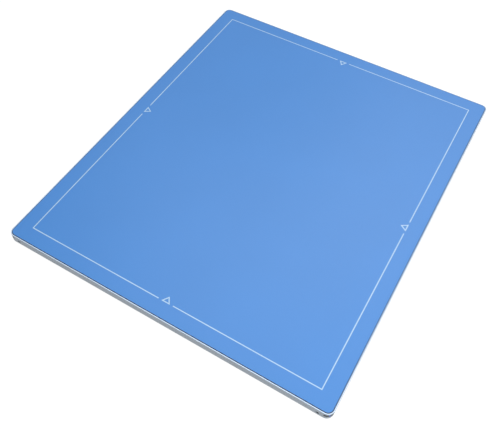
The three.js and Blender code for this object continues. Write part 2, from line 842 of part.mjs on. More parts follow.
function makeRearCover() {
  let cover = bevelledSlab(panelOutline(0, cornerRadius), 0, rimHeight, rearChamfer, false);
  const cavity = roundedOutline(2 * coverCavityX, 2 * coverCavityY, basePlateRadius);
  cover = cut(cover, slab(cavity, coverSkin, rimHeight + overrun));
  for (const share of ribShares) {
    const ribX = share * panelWidth;
    cover = join(cover, block(
      spread(ribX, ribThickness / 2),
      [mainBoard.y0, coverCavityY + overrun],
      [coverSkin / 2, coverSkin + ribHeight],
    ));
  }
  const bay = roundedOutline(
    batteryWidth + 2 * clearance,
    batteryLength + 2 * clearance,
    batteryRadius + clearance,
  );
  const bayOutside = roundedOutline(
    2 * bayEdgeX,
    2 * (bayTopY - batteryY),
    batteryRadius + clearance + bayWall,
  );
  cover = join(cover, slab(bayOutside, coverSkin / 2, bayRoofTop, 0, batteryY));
  cover = cut(cover, slab(bay, -overrun, bayRoofBottom, 0, batteryY));
  for (const [x, y] of rearScrewPlaces) {
    const post = block(
      spread(x, bossHalfWidth),
      spread(y, bossHalfWidth),
      [coverSkin / 2, frameBottom],
    );
    cover = join(cover, post);
  }
  for (const [x, y] of rearScrewPlaces) {
    cover = cut(
      cover,
      rod(rearHeadRadius + clearance, -overrun, rearHeadSunk + rearHeadHeight, x, y),
      rod(rearShankRadius + clearance, 0, frameBottom + overrun, x, y),
    );
  }
  for (const place of sideScrewPlaces()) cover = join(cover, screwLug(place));
  for (const place of sideScrewPlaces()) {
    const inside = place.y * (baseY - overrun);
    cover = cut(cover, sideHole(sideShankRadius, inside, place.y * halfLength, place.x));
  }
  const label = roundedOutline(labelWidth, labelLength, labelRadius);
  cover = cut(cover, slab(label, -overrun, labelDepth, 0, labelYShare * panelLength));
  const grip = roundedOutline(gripWidth, gripLength, gripLength / 2);
  for (const side of [-1, 1]) {
    cover = cut(cover, slab(grip, -overrun, gripDepth, 0, side * (halfLength - gripInset)));
  }
  const slotLength = latchSlotEnd - latchSlotStart;
  const slot = roundedOutline(latchPadWidth + 2 * clearance, slotLength, batteryWall);
  for (const side of [-1, 1]) {
    cover = cut(
      cover,
      slab(slot, -overrun, coverSkin + overrun, side * latchX, (latchSlotStart + latchSlotEnd) / 2),
      block(
        spread(side * latchX, tongueWidth / 2 + clearance),
        [bayTopY - bayWall - overrun, bayTopY + overrun],
        [latchPlateBottom - clearance, latchPlateTop + clearance],
      ),
    );
  }
  const socketHoleX = padBlockWidth / 2 + socketBorder - clearance;
  const socketHoleY = padBlockLength / 2 + clearance;
  return cut(cover, block(
    spread(0, socketHoleX),
    spread(socketY, socketHoleY),
    [bayRoofBottom - overrun, bayRoofTop + overrun],
  ));
}

// Upright lug of the cover that a side screw holds against the frame's wall
function screwLug({ x, y }) {
  const near = baseY + clearance;
  const far = wallY - clearance;
  const run = y > 0 ? [near, far] : [-far, -near];
  return block(spread(x, lugHalfWidth), run, [coverSkin, sideScrewHeight + lugRise]);
}

function makeRearGasket() {
  const outer = gasketInset;
  const inner = outer + gasketWidth;
  const outline = panelOutline(outer, cornerRadius - outer);
  outline.holes.push(panelOutline(inner, cornerRadius - inner));
  return slab(outline, rimHeight, frameBottom);
}

// Screws

function makeRearScrew() {
  const length = shieldBottom - clearance - rearHeadSunk;
  return screw(rearHeadRadius, rearHeadHeight, rearShankRadius, length);
}

function makeSideScrew() {
  const length = halfLength - sideHeadSunk - baseY - 2 * clearance;
  return screw(sideHeadRadius, sideHeadHeight, sideShankRadius, length);
}

// Controls on the +X side

const buttonFlangeFar = wallX - clearance;
const buttonFlangeNear = buttonFlangeFar - flangeThickness;
const buttonSealFar = buttonFlangeNear - buttonTravel - clearance;
const buttonSealNear = buttonSealFar - buttonSealThickness;

function makePowerButton() {
  const capLength = buttonLength - 2 * clearance;
  const capHeight = buttonHeight - 2 * clearance;
  return join(
    slabAlongX(
      roundedOutline(capHeight, capLength, capHeight / 2),
      buttonFlangeNear,
      halfWidth - buttonSunk,
      buttonY,
      controlHeight,
    ),
    slabAlongX(
      roundedOutline(buttonHeight + buttonBorder, buttonLength + 2 * buttonBorder, tetherRadius),
      buttonFlangeNear,
      buttonFlangeFar,
      buttonY,
      controlHeight,
    ),
  );
}

function makeButtonSeal() {
  return join(
    slabAlongX(
      roundedOutline(buttonHeight + buttonBorder, buttonLength + 2 * buttonBorder, tetherRadius),
      buttonSealNear,
      buttonSealFar,
      buttonY,
      controlHeight,
    ),
    rodAlongX(buttonNubRadius, buttonSealNear - buttonNub, buttonSealFar, buttonY, controlHeight),
  );
}

function makeButtonSwitch() {
  const plungerEnd = buttonSealNear - buttonNub - clearance;
  const bodyEnd = plungerEnd - plungerLength;
  return join(
    block(
      [bodyEnd - switchDepth, bodyEnd],
      spread(buttonY, switchLength / 2),
      [sideBoardTop, sideBoardTop + switchHeight],
    ),
    rodAlongX(plungerRadius, bodyEnd - plungerLength, plungerEnd, buttonY, controlHeight),
  );
}

function makeSideBoard() {
  const lights = [-1, 0, 1].map((place) => block(
    [sideBoard.x1 - 2 * ledSize, sideBoard.x1 - ledSize],
    spread(windowY + place * (windowLength / 3), ledSize / 2),
    [sideBoardTop - boardThickness / 2, sideBoardTop + ledHeight],
  ));
  return join(boardSlab(sideBoard), ...lights);
}

function makeLightGuide() {
  const frontLength = windowLength - 2 * clearance;
  const frontHeight = windowHeight - 2 * clearance;
  const flangeFar = wallX - clearance;
  const flangeNear = flangeFar - flangeThickness;
  return join(
    slabAlongX(
      roundedOutline(frontHeight, frontLength, frontHeight / 2),
      flangeNear - guideTail,
      halfWidth - buttonSunk,
      windowY,
      controlHeight,
    ),
    slabAlongX(
      roundedOutline(windowHeight + 2 * windowBorder, windowLength + 2 * windowBorder, tetherRadius),
      flangeNear,
      flangeFar,
      windowY,
      controlHeight,
    ),
  );
}

// Tether port: a socket, a steel ring that a magnetic plug grips, and a strip of contacts

const tetherFace = halfWidth - tetherRecess;
const tetherFaceLength = tetherLength - 2 * clearance;
const tetherFaceHeight = tetherHeight - 2 * clearance;

function makeTetherSocket() {
  const flangeFar = wallX - clearance;
  return join(
    slabAlongX(
      roundedOutline(tetherFaceHeight, tetherFaceLength, tetherRadius - clearance),
      flangeFar - flangeThickness,
      tetherFace,
      tetherY,
      controlHeight,
    ),
    slabAlongX(
      roundedOutline(
        tetherHeight + 2 * tetherFlangeRise,
        tetherLength + 2 * tetherFlangeBorder,
        tetherRadius,
      ),
      flangeFar - flangeThickness,
      flangeFar,
      tetherY,
      controlHeight,
    ),
  );
}

function makeTetherRing() {
  const length = tetherFaceLength - 2 * ringBorder;
  const height = tetherFaceHeight - 2 * ringBorder;
  const outline = roundedOutline(height, length, ringRim);
  outline.holes.push(roundedOutline(height - 2 * ringRim, length - 2 * ringWidth, ringRim / 2));
  return slabAlongX(outline, tetherFace, tetherFace + ringThickness, tetherY, controlHeight);
}

function makeTetherContacts() {
  const height = tetherFaceHeight - 2 * ringBorder - 2 * ringRim - 2 * clearance;
  const reach = stripPlace(contactCount - 1, contactCount, contactStep) + contactWidth;
  const back = block(
    [tetherFace, tetherFace + contactCarrier],
    spread(tetherY, reach),
    spread(controlHeight, height / 2),
  );
  const pads = Array.from({ length: contactCount }, (_, i) => block(
    [tetherFace + contactCarrier / 2, tetherFace + contactCarrier + contactProud],
    spread(tetherY + stripPlace(i, contactCount, contactStep), contactWidth / 2),
    spread(controlHeight, height / 2 - contactCarrier),
  ));
  return join(back, ...pads);
}

// Radio windows and antennas

function makeAntennaWindow() {
  const length = antennaWindowLength - 2 * clearance;
  const height = antennaWindowHeight - 2 * clearance;
  const flangeFar = wallY - clearance;
  return join(
    slabAlongY(
      roundedOutline(length, height, height / 2),
      flangeFar - flangeThickness,
      halfLength - antennaWindowSunk,
      0,
      controlHeight,
    ),
    slabAlongY(
      roundedOutline(length + 2 * antennaBorder, height + 2 * antennaBorder, tetherRadius),
      flangeFar - flangeThickness,
      flangeFar,
      0,
      controlHeight,
    ),
  );
}

function makeAntenna() {
  const far = wallY - flangeThickness - 2 * clearance;
  return block(
    spread(0, antennaLength / 2),
    [far - antennaThickness, far],
    spread(controlHeight, antennaHeight / 2),
  );
}

// Battery pack

const batteryInsideX = batteryEdgeX - batteryWall;
const batteryInsideY = batteryLength / 2 - batteryWall;

function makeBatteryCase() {
  const outline = roundedOutline(batteryWidth, batteryLength, batteryRadius);
  const inside = roundedOutline(2 * batteryInsideX, 2 * batteryInsideY, batteryRadius - batteryWall);
  let shell = cut(
    slab(outline, batteryLidTop, batteryTop, 0, batteryY),
    slab(inside, batteryLidTop - overrun, batteryTop - batteryRoof, 0, batteryY),
  );
  for (const side of [-1, 1]) {
    const halfNotch = tongueWidth / 2 + 2 * clearance;
    const notchStart = batteryTopY - tongueReach - clearance;
    shell = join(shell, block(
      spread(side * latchX, halfNotch + batteryWall),
      [notchStart - batteryWall, batteryTopY - batteryWall / 2],
      [batteryLidTop, batteryTop],
    ));
    shell = cut(shell, block(
      spread(side * latchX, halfNotch),
      [notchStart, batteryTopY + overrun],
      [batteryLidTop + notchFloor, batteryTop + overrun],
    ));
  }
  return cut(shell, block(
    spread(0, padBlockWidth / 2 + socketBorder),
    spread(socketY, padBlockLength / 2 + 2 * clearance),
    [batteryTop - batteryRoof - overrun, batteryTop + overrun],
  ));
}

function makeBatteryLid() {
  const outline = roundedOutline(batteryWidth, batteryLength, batteryRadius);
  return slab(outline, batterySunk, batteryLidTop, 0, batteryY);
}

// One of the two flat cells, round the origin along X
function makeCell() {
  const width = batteryInsideX - cellGap / 2 - clearance;
  const length = 2 * batteryInsideY - cellStrip - 2 * clearance;
  const outline = roundedOutline(width, length, batteryRadius - batteryWall - clearance);
  const y = batteryY - batteryInsideY + clearance + length / 2;
  return slab(outline, batteryLidTop + clearance, batteryTop - batteryRoof - clearance, 0, y);
}

const cellX = (batteryInsideX - clearance + cellGap / 2) / 2;

function makeBatteryBoard() {
  const top = batteryTop - batteryRoof - clearance;
  return join(
    block(
      spread(0, batteryBoardWidth / 2),
      spread(socketY, batteryBoardLength / 2),
      [top - batteryBoardThickness, top],
    ),
    block(
      spread(0, padBlockWidth / 2),
      spread(socketY, padBlockLength / 2),
      [top - batteryBoardThickness / 2, bayRoofBottom - socketReach - 2 * clearance],
    ),
  );
}

// Contact block that hangs through the bay's roof, with a row of sprung contacts under it
function makeBatterySocket() {
  const bodyX = padBlockWidth / 2 + socketBorder - 2 * clearance;
  const bodyY = padBlockLength / 2;
  const low = bayRoofBottom - socketReach;
  const contacts = Array.from({ length: socketPadCount }, (_, i) => block(
    spread(stripPlace(i, socketPadCount, socketPadStep), socketPadSize / 2),
    spread(socketY, socketPadSize / 2),
    [low, low + 2 * socketPadHeight],
  ));
  return join(
    block(spread(0, bodyX), spread(socketY, bodyY), [low + socketPadHeight, bayRoofTop + socketFlange]),
    block(
      spread(0, bodyX + socketBorder),
      spread(socketY, bodyY + socketBorder),
      [bayRoofTop, bayRoofTop + socketFlange],
    ),
    ...contacts,
  );
}

// Latches, round the origin along X

function makeLatch() {
  const padStart = latchSlotStart + clearance;
  const padOutline = roundedOutline(latchPadWidth, latchPadLength, batteryWall - clearance);
  let latch = join(
    slab(padOutline, latchPadSunk, latchPlateTop, 0, padStart + latchPadLength / 2),
    block(
      spread(0, latchPlateX),
      [latchPlateStart, latchPlateEnd],
      [latchPlateBottom, latchPlateTop],
    ),
    block(
      spread(0, tongueWidth / 2),
      [batteryTopY - tongueReach, latchPlateStart + overrun],
      [tongueBottom, tongueBottom + tongueThickness],
    ),
  );
  for (let i = 0; i < latchRidgeCount; i += 1) {
    const y = padStart + latchPadLength / 2 + stripPlace(i, latchRidgeCount, 2 * latchRidgeWidth);
    latch = cut(latch, block(
      spread(0, latchPadWidth / 2 - batteryWall),
      spread(y, latchRidgeWidth / 2),
      [latchPadSunk - overrun, latchPadSunk + latchRidgeDepth],
    ));
  }
  return latch;
}

// Cover over a latch that keeps it down on the rear cover and gives its spring a stop
function makeLatchKeeper() {
  const insideX = latchPlateX + clearance;
  const insideTop = latchPlateTop + clearance;
  const outer = block(
    spread(0, insideX + keeperWall),
    [latchPlateStart, keeperStop + keeperWall],
    [coverSkin, insideTop + keeperWall],
  );
  const inner = block(
    spread(0, insideX),
    [latchPlateStart - overrun, keeperStop],
    [coverSkin - overrun, insideTop],
  );
  return cut(outer, inner);
}

// Flat folded spring between a latch and its keeper's stop: bars across, joined at alternate ends
function makeLatchSpring() {
  const pitch = (springLength - springThickness) / springFolds;
  const half = springWidth / 2;
  const bend = half - springThickness;
  const barStart = (i) => springStart + i * pitch;
  const barEnd = (i) => barStart(i) + springThickness;
  const right = [[half, barStart(0)]];
  const left = [[-half, barStart(0)]];
  for (let i = 0; i < springFolds; i += 1) {
    const slot = [
      [half, barEnd(i)],
      [-bend, barEnd(i)],
      [-bend, barStart(i + 1)],
      [half, barStart(i + 1)],
    ];
    if (i % 2 === 1) right.push(...slot);
    else left.push(...slot.map(([x, y]) => [-x, y]));
  }
  right.push([half, barEnd(springFolds)]);
  left.push([-half, barEnd(springFolds)]);
  const outline = [...right, ...left.reverse()].map(([x, y]) => new THREE.Vector2(x, y));
  return slab(new THREE.Shape(outline), latchPlateBottom, latchPlateTop);
}

// The assembled panel
const panel = new THREE.Group();

function add(name, solid, material, { x = 0, y = 0, z = 0, turnX = 0, turnZ = 0 } = {}) {
  const mesh = new THREE.Mesh(geometryFrom(solid), material);
  mesh.name = name;
  mesh.position.set(x, y, z);
  mesh.rotation.set(turnX, 0, turnZ);
  panel.add(mesh);
}

add('front_film', makeFrontFilm(), blueFilm);
add('front_plate', makeFrontPlate(), carbonPlate);
add('front_seal', makeFrontSeal(), sealRubber);
add('frame', makeFrame(), bareAluminium);
corners.forEach((corner, i) => {
  const place = { x: corner.x * cornerX, y: corner.y * cornerY, turnZ: corner.turn };
  add(`corner_guard_${i + 1}`, makeCornerGuard(corner === lensCorner), darkPolymer, place);
});
add('status_lens', makeStatusLens(), blueLens, {
  x: lensCorner.x * cornerX,
  y: lensCorner.y * cornerY,
  z: lensHeight,
});

add('foam_sheet', sheet(scintillatorWidth, scintillatorLength, foamBottom, plateBottom), greyFoam);
add('scintillator_plate',
  sheet(scintillatorWidth, scintillatorLength, scintillatorBottom, foamBottom), scintillatorWhite);
add('sensor_glass', sheet(glassWidth, glassLength, glassBottom, scintillatorBottom), sensorGlassFinish);
add('shield_sheet', sheet(glassWidth, glassLength, shieldBottom, glassBottom), leadGrey);
add('base_plate', makeBasePlate(), castMagnesium);

add('readout_board', makeReadoutBoard(), circuitGreen);
add('gate_board', makeGateBoard(), circuitGreen);
add('main_board', makeMainBoard(), circuitGreen);
add('power_board', makePowerBoard(), circuitGreen);
add('shield_can', makeShieldCan(), steel);
add('wifi_module', makeRadioModule(), steel);
add('readout_flex', makeReadoutFlex(), filmCableAmber);
add('gate_flex', makeGateFlex(), filmCableAmber);

add('rear_cover', makeRearCover(), coverPaint);
add('rear_gasket', makeRearGasket(), sealRubber);
rearScrewPlaces.forEach(([x, y], i) => {
  add(`rear_screw_${i + 1}`, makeRearScrew(), steel, { x, y, z: rearHeadSunk });
});
sideScrewPlaces().forEach((place, i) => {
  add(`side_screw_${i + 1}`, makeSideScrew(), darkSteel, {
    x: place.x,
    y: place.y * (halfLength - sideHeadSunk),
    z: sideScrewHeight,
    turnX: place.y * Math.PI / 2,
  });
});

add('power_button', makePowerButton(), buttonGrey);
add('button_seal', makeButtonSeal(), sealRubber);
add('button_switch', makeButtonSwitch(), darkPolymer);
add('side_board', makeSideBoard(), circuitGreen);
add('light_guide', makeLightGuide(), clearGuide);
add('tether_socket', makeTetherSocket(), darkPolymer);
add('tether_ring', makeTetherRing(), steel);
add('tether_contacts', makeTetherContacts(), gold);

for (const [side, name] of [[-1, 'left'], [1, 'right']]) {
  add(`antenna_window_${name}`, makeAntennaWindow(), darkPolymer, { x: side * antennaX });
  add(`antenna_${name}`, makeAntenna(), circuitGreen, { x: side * antennaX });
  add(`cell_${name}`, makeCell(), cellSilver, { x: side * cellX });
  add(`latch_${name}`, makeLatch(), batteryPlastic, { x: side * latchX });
  add(`latch_spring_${name}`, makeLatchSpring(), steel, { x: side * latchX });
  add(`latch_keeper_${name}`, makeLatchKeeper(), steel, { x: side * latchX });
}

add('battery_case', makeBatteryCase(), batteryPlastic);
add('battery_lid', makeBatteryLid(), batteryPlastic);
add('battery_board', makeBatteryBoard(), circuitGreen);
add('battery_socket', makeBatterySocket(), darkPolymer);

export default panel;
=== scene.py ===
import json
import math
from functools import partialmethod
from inspect import signature

import bpy
from bpy.props import FloatProperty, FloatVectorProperty, PointerProperty
from mathutils import Euler, Matrix, Vector
from mathutils.geometry import delaunay_2d_cdt

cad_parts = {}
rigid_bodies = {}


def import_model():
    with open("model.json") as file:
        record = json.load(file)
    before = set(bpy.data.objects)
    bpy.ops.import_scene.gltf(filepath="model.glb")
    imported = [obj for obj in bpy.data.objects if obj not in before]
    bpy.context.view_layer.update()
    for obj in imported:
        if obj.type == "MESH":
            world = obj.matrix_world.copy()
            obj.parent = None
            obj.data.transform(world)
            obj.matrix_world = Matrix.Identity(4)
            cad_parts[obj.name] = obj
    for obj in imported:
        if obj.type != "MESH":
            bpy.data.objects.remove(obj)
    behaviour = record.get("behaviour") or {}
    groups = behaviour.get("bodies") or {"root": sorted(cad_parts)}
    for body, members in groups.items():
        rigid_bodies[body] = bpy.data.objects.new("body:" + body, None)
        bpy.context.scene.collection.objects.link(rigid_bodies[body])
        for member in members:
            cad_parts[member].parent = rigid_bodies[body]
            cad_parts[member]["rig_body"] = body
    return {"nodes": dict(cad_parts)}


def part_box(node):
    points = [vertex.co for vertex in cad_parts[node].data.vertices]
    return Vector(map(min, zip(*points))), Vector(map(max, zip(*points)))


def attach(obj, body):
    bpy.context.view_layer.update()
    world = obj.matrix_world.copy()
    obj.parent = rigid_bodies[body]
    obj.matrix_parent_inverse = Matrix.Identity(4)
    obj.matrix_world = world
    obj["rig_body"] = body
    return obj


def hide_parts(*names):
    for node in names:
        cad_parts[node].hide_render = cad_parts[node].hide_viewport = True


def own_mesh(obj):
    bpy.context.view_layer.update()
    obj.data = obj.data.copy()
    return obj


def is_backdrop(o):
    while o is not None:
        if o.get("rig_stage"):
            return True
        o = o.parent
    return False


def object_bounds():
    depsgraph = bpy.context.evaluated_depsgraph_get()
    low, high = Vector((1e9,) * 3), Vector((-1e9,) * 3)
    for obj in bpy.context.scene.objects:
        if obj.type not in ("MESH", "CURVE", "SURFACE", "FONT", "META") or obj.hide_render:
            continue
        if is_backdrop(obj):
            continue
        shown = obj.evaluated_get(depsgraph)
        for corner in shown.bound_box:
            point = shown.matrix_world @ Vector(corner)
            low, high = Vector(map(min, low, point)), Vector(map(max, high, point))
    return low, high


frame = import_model()
cad_low, cad_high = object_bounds()

bl_info = {
    "name": "Digital X-Ray Detector Finishes",
    "version": (1, 0, 0),
    "blender": (4, 5, 0),
    "location": "3D View > Sidebar > Detector",
    "description": "Dresses the flat x-ray detector with its finishes, its finer pieces and its studio",
    "category": "Object",
}

MM = 0.001
QUARTER = math.pi / 2
HALF_TURN = math.pi
Y, Z = 1, 2
WHITE = (1.0, 1.0, 1.0)
BLACK = (0.0, 0.0, 0.0)

# Sizes that the CAD model has too

PANEL_CORNER = 7.5 * MM
FRAME_CHAMFER = 0.35 * MM
COVER_SLOPE = 4.2 * MM
BUTTON_FLANGE = 0.8 * MM
BUTTON_LIP_ALONG = 1.3 * MM
BUTTON_LIP_UP = 0.8 * MM
LABEL_WIDTH = 104 * MM
LABEL_LENGTH = 62 * MM
LABEL_RADIUS = 3 * MM
LABEL_DEPTH = 0.25 * MM
LABEL_Y = 133.4 * MM
GRIP_WIDTH = 110 * MM
GRIP_LENGTH = 15 * MM
GRIP_DEPTH = 0.6 * MM
GRIP_Y = 196 * MM


# Settings in the sidebar


def setting(kind, **options):
    """Maker of like settings, each with a name, a description and a default of its own."""

    def make(name, description, default):
        return kind(name=name, description=description, default=default, **options)

    return make


size = setting(FloatProperty, min=0, precision=5, unit="LENGTH")
colour = setting(FloatVectorProperty, min=0, max=1, size=3, subtype="COLOR")
share = setting(FloatProperty, min=0, max=1, subtype="FACTOR")
angle = setting(FloatProperty, subtype="ANGLE")
power = setting(FloatProperty, min=0, unit="POWER")


class DetectorPrint(bpy.types.PropertyGroup):
    """Sizes of the border and of the centre marks printed on the film."""

    half_width: size("Half width", "From the middle to the border line across", 173.0 * MM)
    half_length: size("Half length", "From the middle to the border line along", 211.0 * MM)
    line_width: size("Line width", "Width of the border line", 1.1 * MM)
    gap: size("Gap", "From the middle of a side to the end of its line", 8.6 * MM)
    mark_half_base: size("Mark half base", "Half the base of a centre mark", 5.1 * MM)
    mark_height: size("Mark height", "Height of a centre mark", 7.8 * MM)
    mark_stroke: size("Mark stroke", "Width of a centre mark's outline", 1.2 * MM)


class DetectorColours(bpy.types.PropertyGroup):
    """Colours of the finishes."""

    film: colour("Film", "Blue film on the front", (0.044, 0.211, 0.568))
    ink: colour("Ink", "Border and centre marks", (0.40, 0.57, 0.73))
    # Very dark blue: partly the carbon's own colour, partly painted shade, since its thin visible edge stands
    # for the shadowed gap round the film.
    plate: colour("Plate", "Carbon fibre plate, seen at its edge", (0.018, 0.040, 0.085))
    # Pale blue-white of the face round the plate: partly bright cut metal, partly a painted highlight; rubbed
    # edges and scratches on the frame take it as bare metal.
    bezel: colour("Bezel", "Metal face round the plate", (0.61, 0.75, 0.93))
    side: colour("Side", "Blasted metal side of the frame", (0.288, 0.333, 0.384))
    guard: colour("Guard", "Corner guards and radio windows", (0.015, 0.018, 0.022))
    lens: colour("Lens", "Status lens in the near corner", (0.008, 0.100, 0.600))
    cover: colour("Cover", "Paint of the rear cover", (0.52, 0.545, 0.57))
    primer: colour("Primer", "Metal that shows where the paint is rubbed", (0.30, 0.31, 0.32))
    battery: colour("Battery", "Moulded battery case and latches", (0.070, 0.078, 0.090))
    button: colour("Button", "Power button", (0.200, 0.225, 0.255))
    label: colour("Label", "Blank labels on the rear", (0.66, 0.68, 0.70))
    grip: colour("Grip", "Rubber pads in the two grips", (0.030, 0.033, 0.037))
    board: colour("Board", "Solder mask of the circuit boards", (0.010, 0.130, 0.060))


class DetectorTextures(bpy.types.PropertyGroup):
    """Sizes of the fine textures, and how rough the main surfaces are."""

    film_grain: size("Film grain", "Grain of the matt film", 0.35 * MM)
    film_roughness: share("Film roughness", "How matt the film is", 0.42)
    blast_grain: size("Blast grain", "Grain of the blasted metal", 0.22 * MM)
    paint_grain: size("Paint grain", "Orange peel of the cover's paint", 0.9 * MM)
    mould_grain: size("Mould grain", "Spark grain of moulded plastic", 0.5 * MM)
    tow: size("Tow", "Width of one tow of the carbon weave", 2.0 * MM)
    track_pitch: size("Track pitch", "Distance between tracks on a board", 1.1 * MM)


class DetectorEdges(bpy.types.PropertyGroup):
    """How far the edges are rounded."""

    cut: size("Cut edge", "Edges of cut and ground metal", 0.12 * MM)
    cast: size("Cast edge", "Edges of castings and of the cover", 0.3 * MM)
    moulded: size("Moulded edge", "Edges of moulded plastic", 0.25 * MM)
    sheet: size("Sheet edge", "Edges of thin sheets and boards", 0.05 * MM)


class DetectorRear(bpy.types.PropertyGroup):
    """Sizes of the pads, blank labels and charge lamps on the rear."""

    gap: size("Gap", "Gap round a pad or label in its recess", 0.4 * MM)
    sunk: size("Sunk", "How far the pads and labels lie below the rear face", 0.06 * MM)
    rib_width: size("Rib width", "Width of one rib of a grip pad", 1.6 * MM)
    rib_pitch: size("Rib pitch", "Distance from rib to rib", 3.2 * MM)
    rib_height: size("Rib height", "Height of a rib above its pad", 0.3 * MM)
    lid_label_width: size("Lid label width", "Blank label on the battery, across", 96 * MM)
    lid_label_length: size("Lid label length", "Blank label on the battery, along", 44 * MM)
    lamp_radius: size("Lamp radius", "Radius of one charge lamp", 0.9 * MM)
    lamp_pitch: size("Lamp pitch", "Distance from lamp to lamp", 5 * MM)
    lamp_inset: size("Lamp inset", "From the battery's edge to the lamps", 12 * MM)


class DetectorStage(bpy.types.PropertyGroup):
    """The camera, the lamps and the white surround."""

    camera_place: FloatVectorProperty(
        name="Camera place",
        description="Where the camera stands",
        default=(0.1993, -0.4349, 0.5726),
        size=3,
        precision=4,
        subtype="XYZ",
        unit="LENGTH",
    )
    azimuth: angle("Azimuth", "Camera's turn round the upright axis", math.radians(30.27))
    elevation: angle("Elevation", "Camera's angle above the floor", math.radians(54.19))
    roll: angle("Roll", "Camera's turn round its own axis", math.radians(0.91))
    focal_length: FloatProperty(
        name="Focal length",
        description="Focal length in millimetres",
        default=44.96,
        min=1,
        subtype="DISTANCE_CAMERA",
    )
    shift: FloatProperty(name="Shift", description="Sideways shift of the picture", default=0.0471)
    key_power: power("Key lamp", "Large soft lamp in front on the right", 14.2)
    top_power: power("Top lamp", "Soft box above, which the film mirrors", 6.1)
    back_power: power("Back lamp", "Soft box behind", 3.7)
    sky: share("Sky", "White light from all round", 0.28)
    floor_glow: share("Floor glow", "Part of the floor's white that no shadow darkens", 0.88)
    floor_full: FloatProperty(
        name="Floor full",
        description="Glow and paint of the floor together",
        default=1.06,
        min=0,
        subtype="FACTOR",
    )
    shadow_reach: size("Shadow reach", "How far out the floor can hold a shadow", 450 * MM)
    floor_bounce: share("Floor bounce", "White that the floor gives back to the object", 0.4)


# Node trees


def title_of(name):
    """Title of a node group or a socket, such as Half Width for half_width."""
    return name.replace("_", " ").title()


def feed(socket, value):
    """Links a field to a socket, or sets the socket to a plain value."""
    if isinstance(value, Field):
        socket.id_data.links.new(value.socket, socket)
    else:
        socket.default_value = value


def add_node(tree, kind, *values, **options):
    """New node of a kind, with its first sockets fed in order and its options set."""
    node = tree.nodes.new(kind)
    for name, option in options.items():
        setattr(node, name, option)
    for socket, value in zip(node.inputs, values):
        feed(socket, value)
    return node


def field_of(tree, kind, *values, **options):
    """First output of a new node, as a field."""
    return Field(add_node(tree, kind, *values, **options).outputs[0])


def combine(operation, *values):
    """Field that a math node makes of other fields and plain values."""
    first = next(value for value in values if isinstance(value, Field))
    kind = "ShaderNodeVectorMath" if first.socket.type == "VECTOR" else "ShaderNodeMath"
    return field_of(first.tree, kind, *values, operation=operation)


class Field:
    """What a node gives at each point of a surface; arithmetic with it adds nodes to its tree."""

    def __init__(self, socket):
        self.socket = socket
        self.tree = socket.id_data

    def apply(self, operation, *others):
        """Field that a math node makes, with this one as its first value."""
        return combine(operation, self, *others)

    __add__ = partialmethod(apply, "ADD")
    __sub__ = partialmethod(apply, "SUBTRACT")
    __mul__ = partialmethod(apply, "MULTIPLY")
    __truediv__ = partialmethod(apply, "DIVIDE")
    __mod__ = partialmethod(apply, "FLOORED_MODULO")
    __lt__ = partialmethod(apply, "LESS_THAN")
    __gt__ = partialmethod(apply, "GREATER_THAN")
    __abs__ = partialmethod(apply, "ABSOLUTE")
    at_least = partialmethod(apply, "MAXIMUM")
    at_most = partialmethod(apply, "MINIMUM")
    floor = partialmethod(apply, "FLOOR")
    sine = partialmethod(apply, "SINE")
    root = partialmethod(apply, "SQRT")
    ping_pong = partialmethod(apply, "PINGPONG")

    def __rsub__(self, other):
        return combine("SUBTRACT", other, self)

    def __rtruediv__(self, other):
        return combine("DIVIDE", other, self)

    def remap(self, low, high, to_low=0.0, to_high=1.0, smooth=False):
        """Moves the range from low to high to another one, and clamps it there."""
        values = (self, low, high, to_low, to_high)
        blend = "SMOOTHSTEP" if smooth else "LINEAR"
        return field_of(self.tree, "ShaderNodeMapRange", *values, interpolation_type=blend)

    def choose(self, first, second):
        """The first value where this mask is 0, and the second where it is 1."""
        return self.remap(0.0, 1.0, first, second)

    def parts(self):
        """X, Y and Z of a vector."""
        return [Field(part) for part in add_node(self.tree, "ShaderNodeSeparateXYZ", self).outputs]

    def in_steps_of(self, unit):
        """A place, counted in steps of a size in metres."""
        node = add_node(self.tree, "ShaderNodeVectorMath", self, operation="SCALE")
        feed(node.inputs["Scale"], 1.0 / unit)
        return Field(node.outputs["Vector"])

    def noise(self, detail, roughness):
        """Value of a noise texture at a place that is already scaled."""
        node = self.tree.nodes.new("ShaderNodeTexNoise")
        for name, value in (("Vector", self), ("Scale", 1), ("Detail", detail), ("Roughness", roughness)):
            feed(node.inputs[name], value)
        return Field(node.outputs["Fac"])


def length_of(across, up):
    """Length of a step with the two given parts."""
    return (across * across + up * up).root()


def place_on_part(tree):
    """Point of the surface in the part's own frame, in metres."""
    return Field(tree.nodes.new("ShaderNodeTexCoord").outputs["Object"])


# Shared effects: each is a node group whose inputs are the arguments after the place


def fine_grain(place, size=0.5 * MM, contrast=0.5):
    """Even fine texture of matt film, blasted metal, paint and moulded plastic."""
    spread = contrast * 0.3
    return [place.in_steps_of(size).noise(detail=2.0, roughness=0.55).remap(0.5 - spread, spread + 0.5)]


def slow_tone(place, size=60 * MM, seed=0.0):
    """Slow change of tone over a surface, so that a large face isn't one flat colour."""
    return [(place.in_steps_of(size) + seed).noise(detail=3.0, roughness=0.5).remap(0.3, 0.7)]


def scuffs(place, length=30 * MM, width=0.3 * MM, turn=0.4, amount=0.3):
    """Fine straight scratches that lie mostly one way, from handling and from sliding into a tray."""
    turned = add_node(place.tree, "ShaderNodeVectorRotate", place, rotation_type="Z_AXIS")
    feed(turned.inputs["Angle"], turn)
    steps = field_of(place.tree, "ShaderNodeCombineXYZ", length, width, width)
    lines = (Field(turned.outputs[0]) / steps).noise(detail=1.0, roughness=0.4)
    patches_per_metre = (22, 22, 22)
    patches = (place * patches_per_metre).noise(detail=2.0, roughness=0.6).remap(0.4, 0.65, 0.7, 1.1)
    threshold = amount.choose(0.9, 0.5)
    return [((lines * patches).remap(threshold, 1.0) * 4.0).at_most(1.0)]


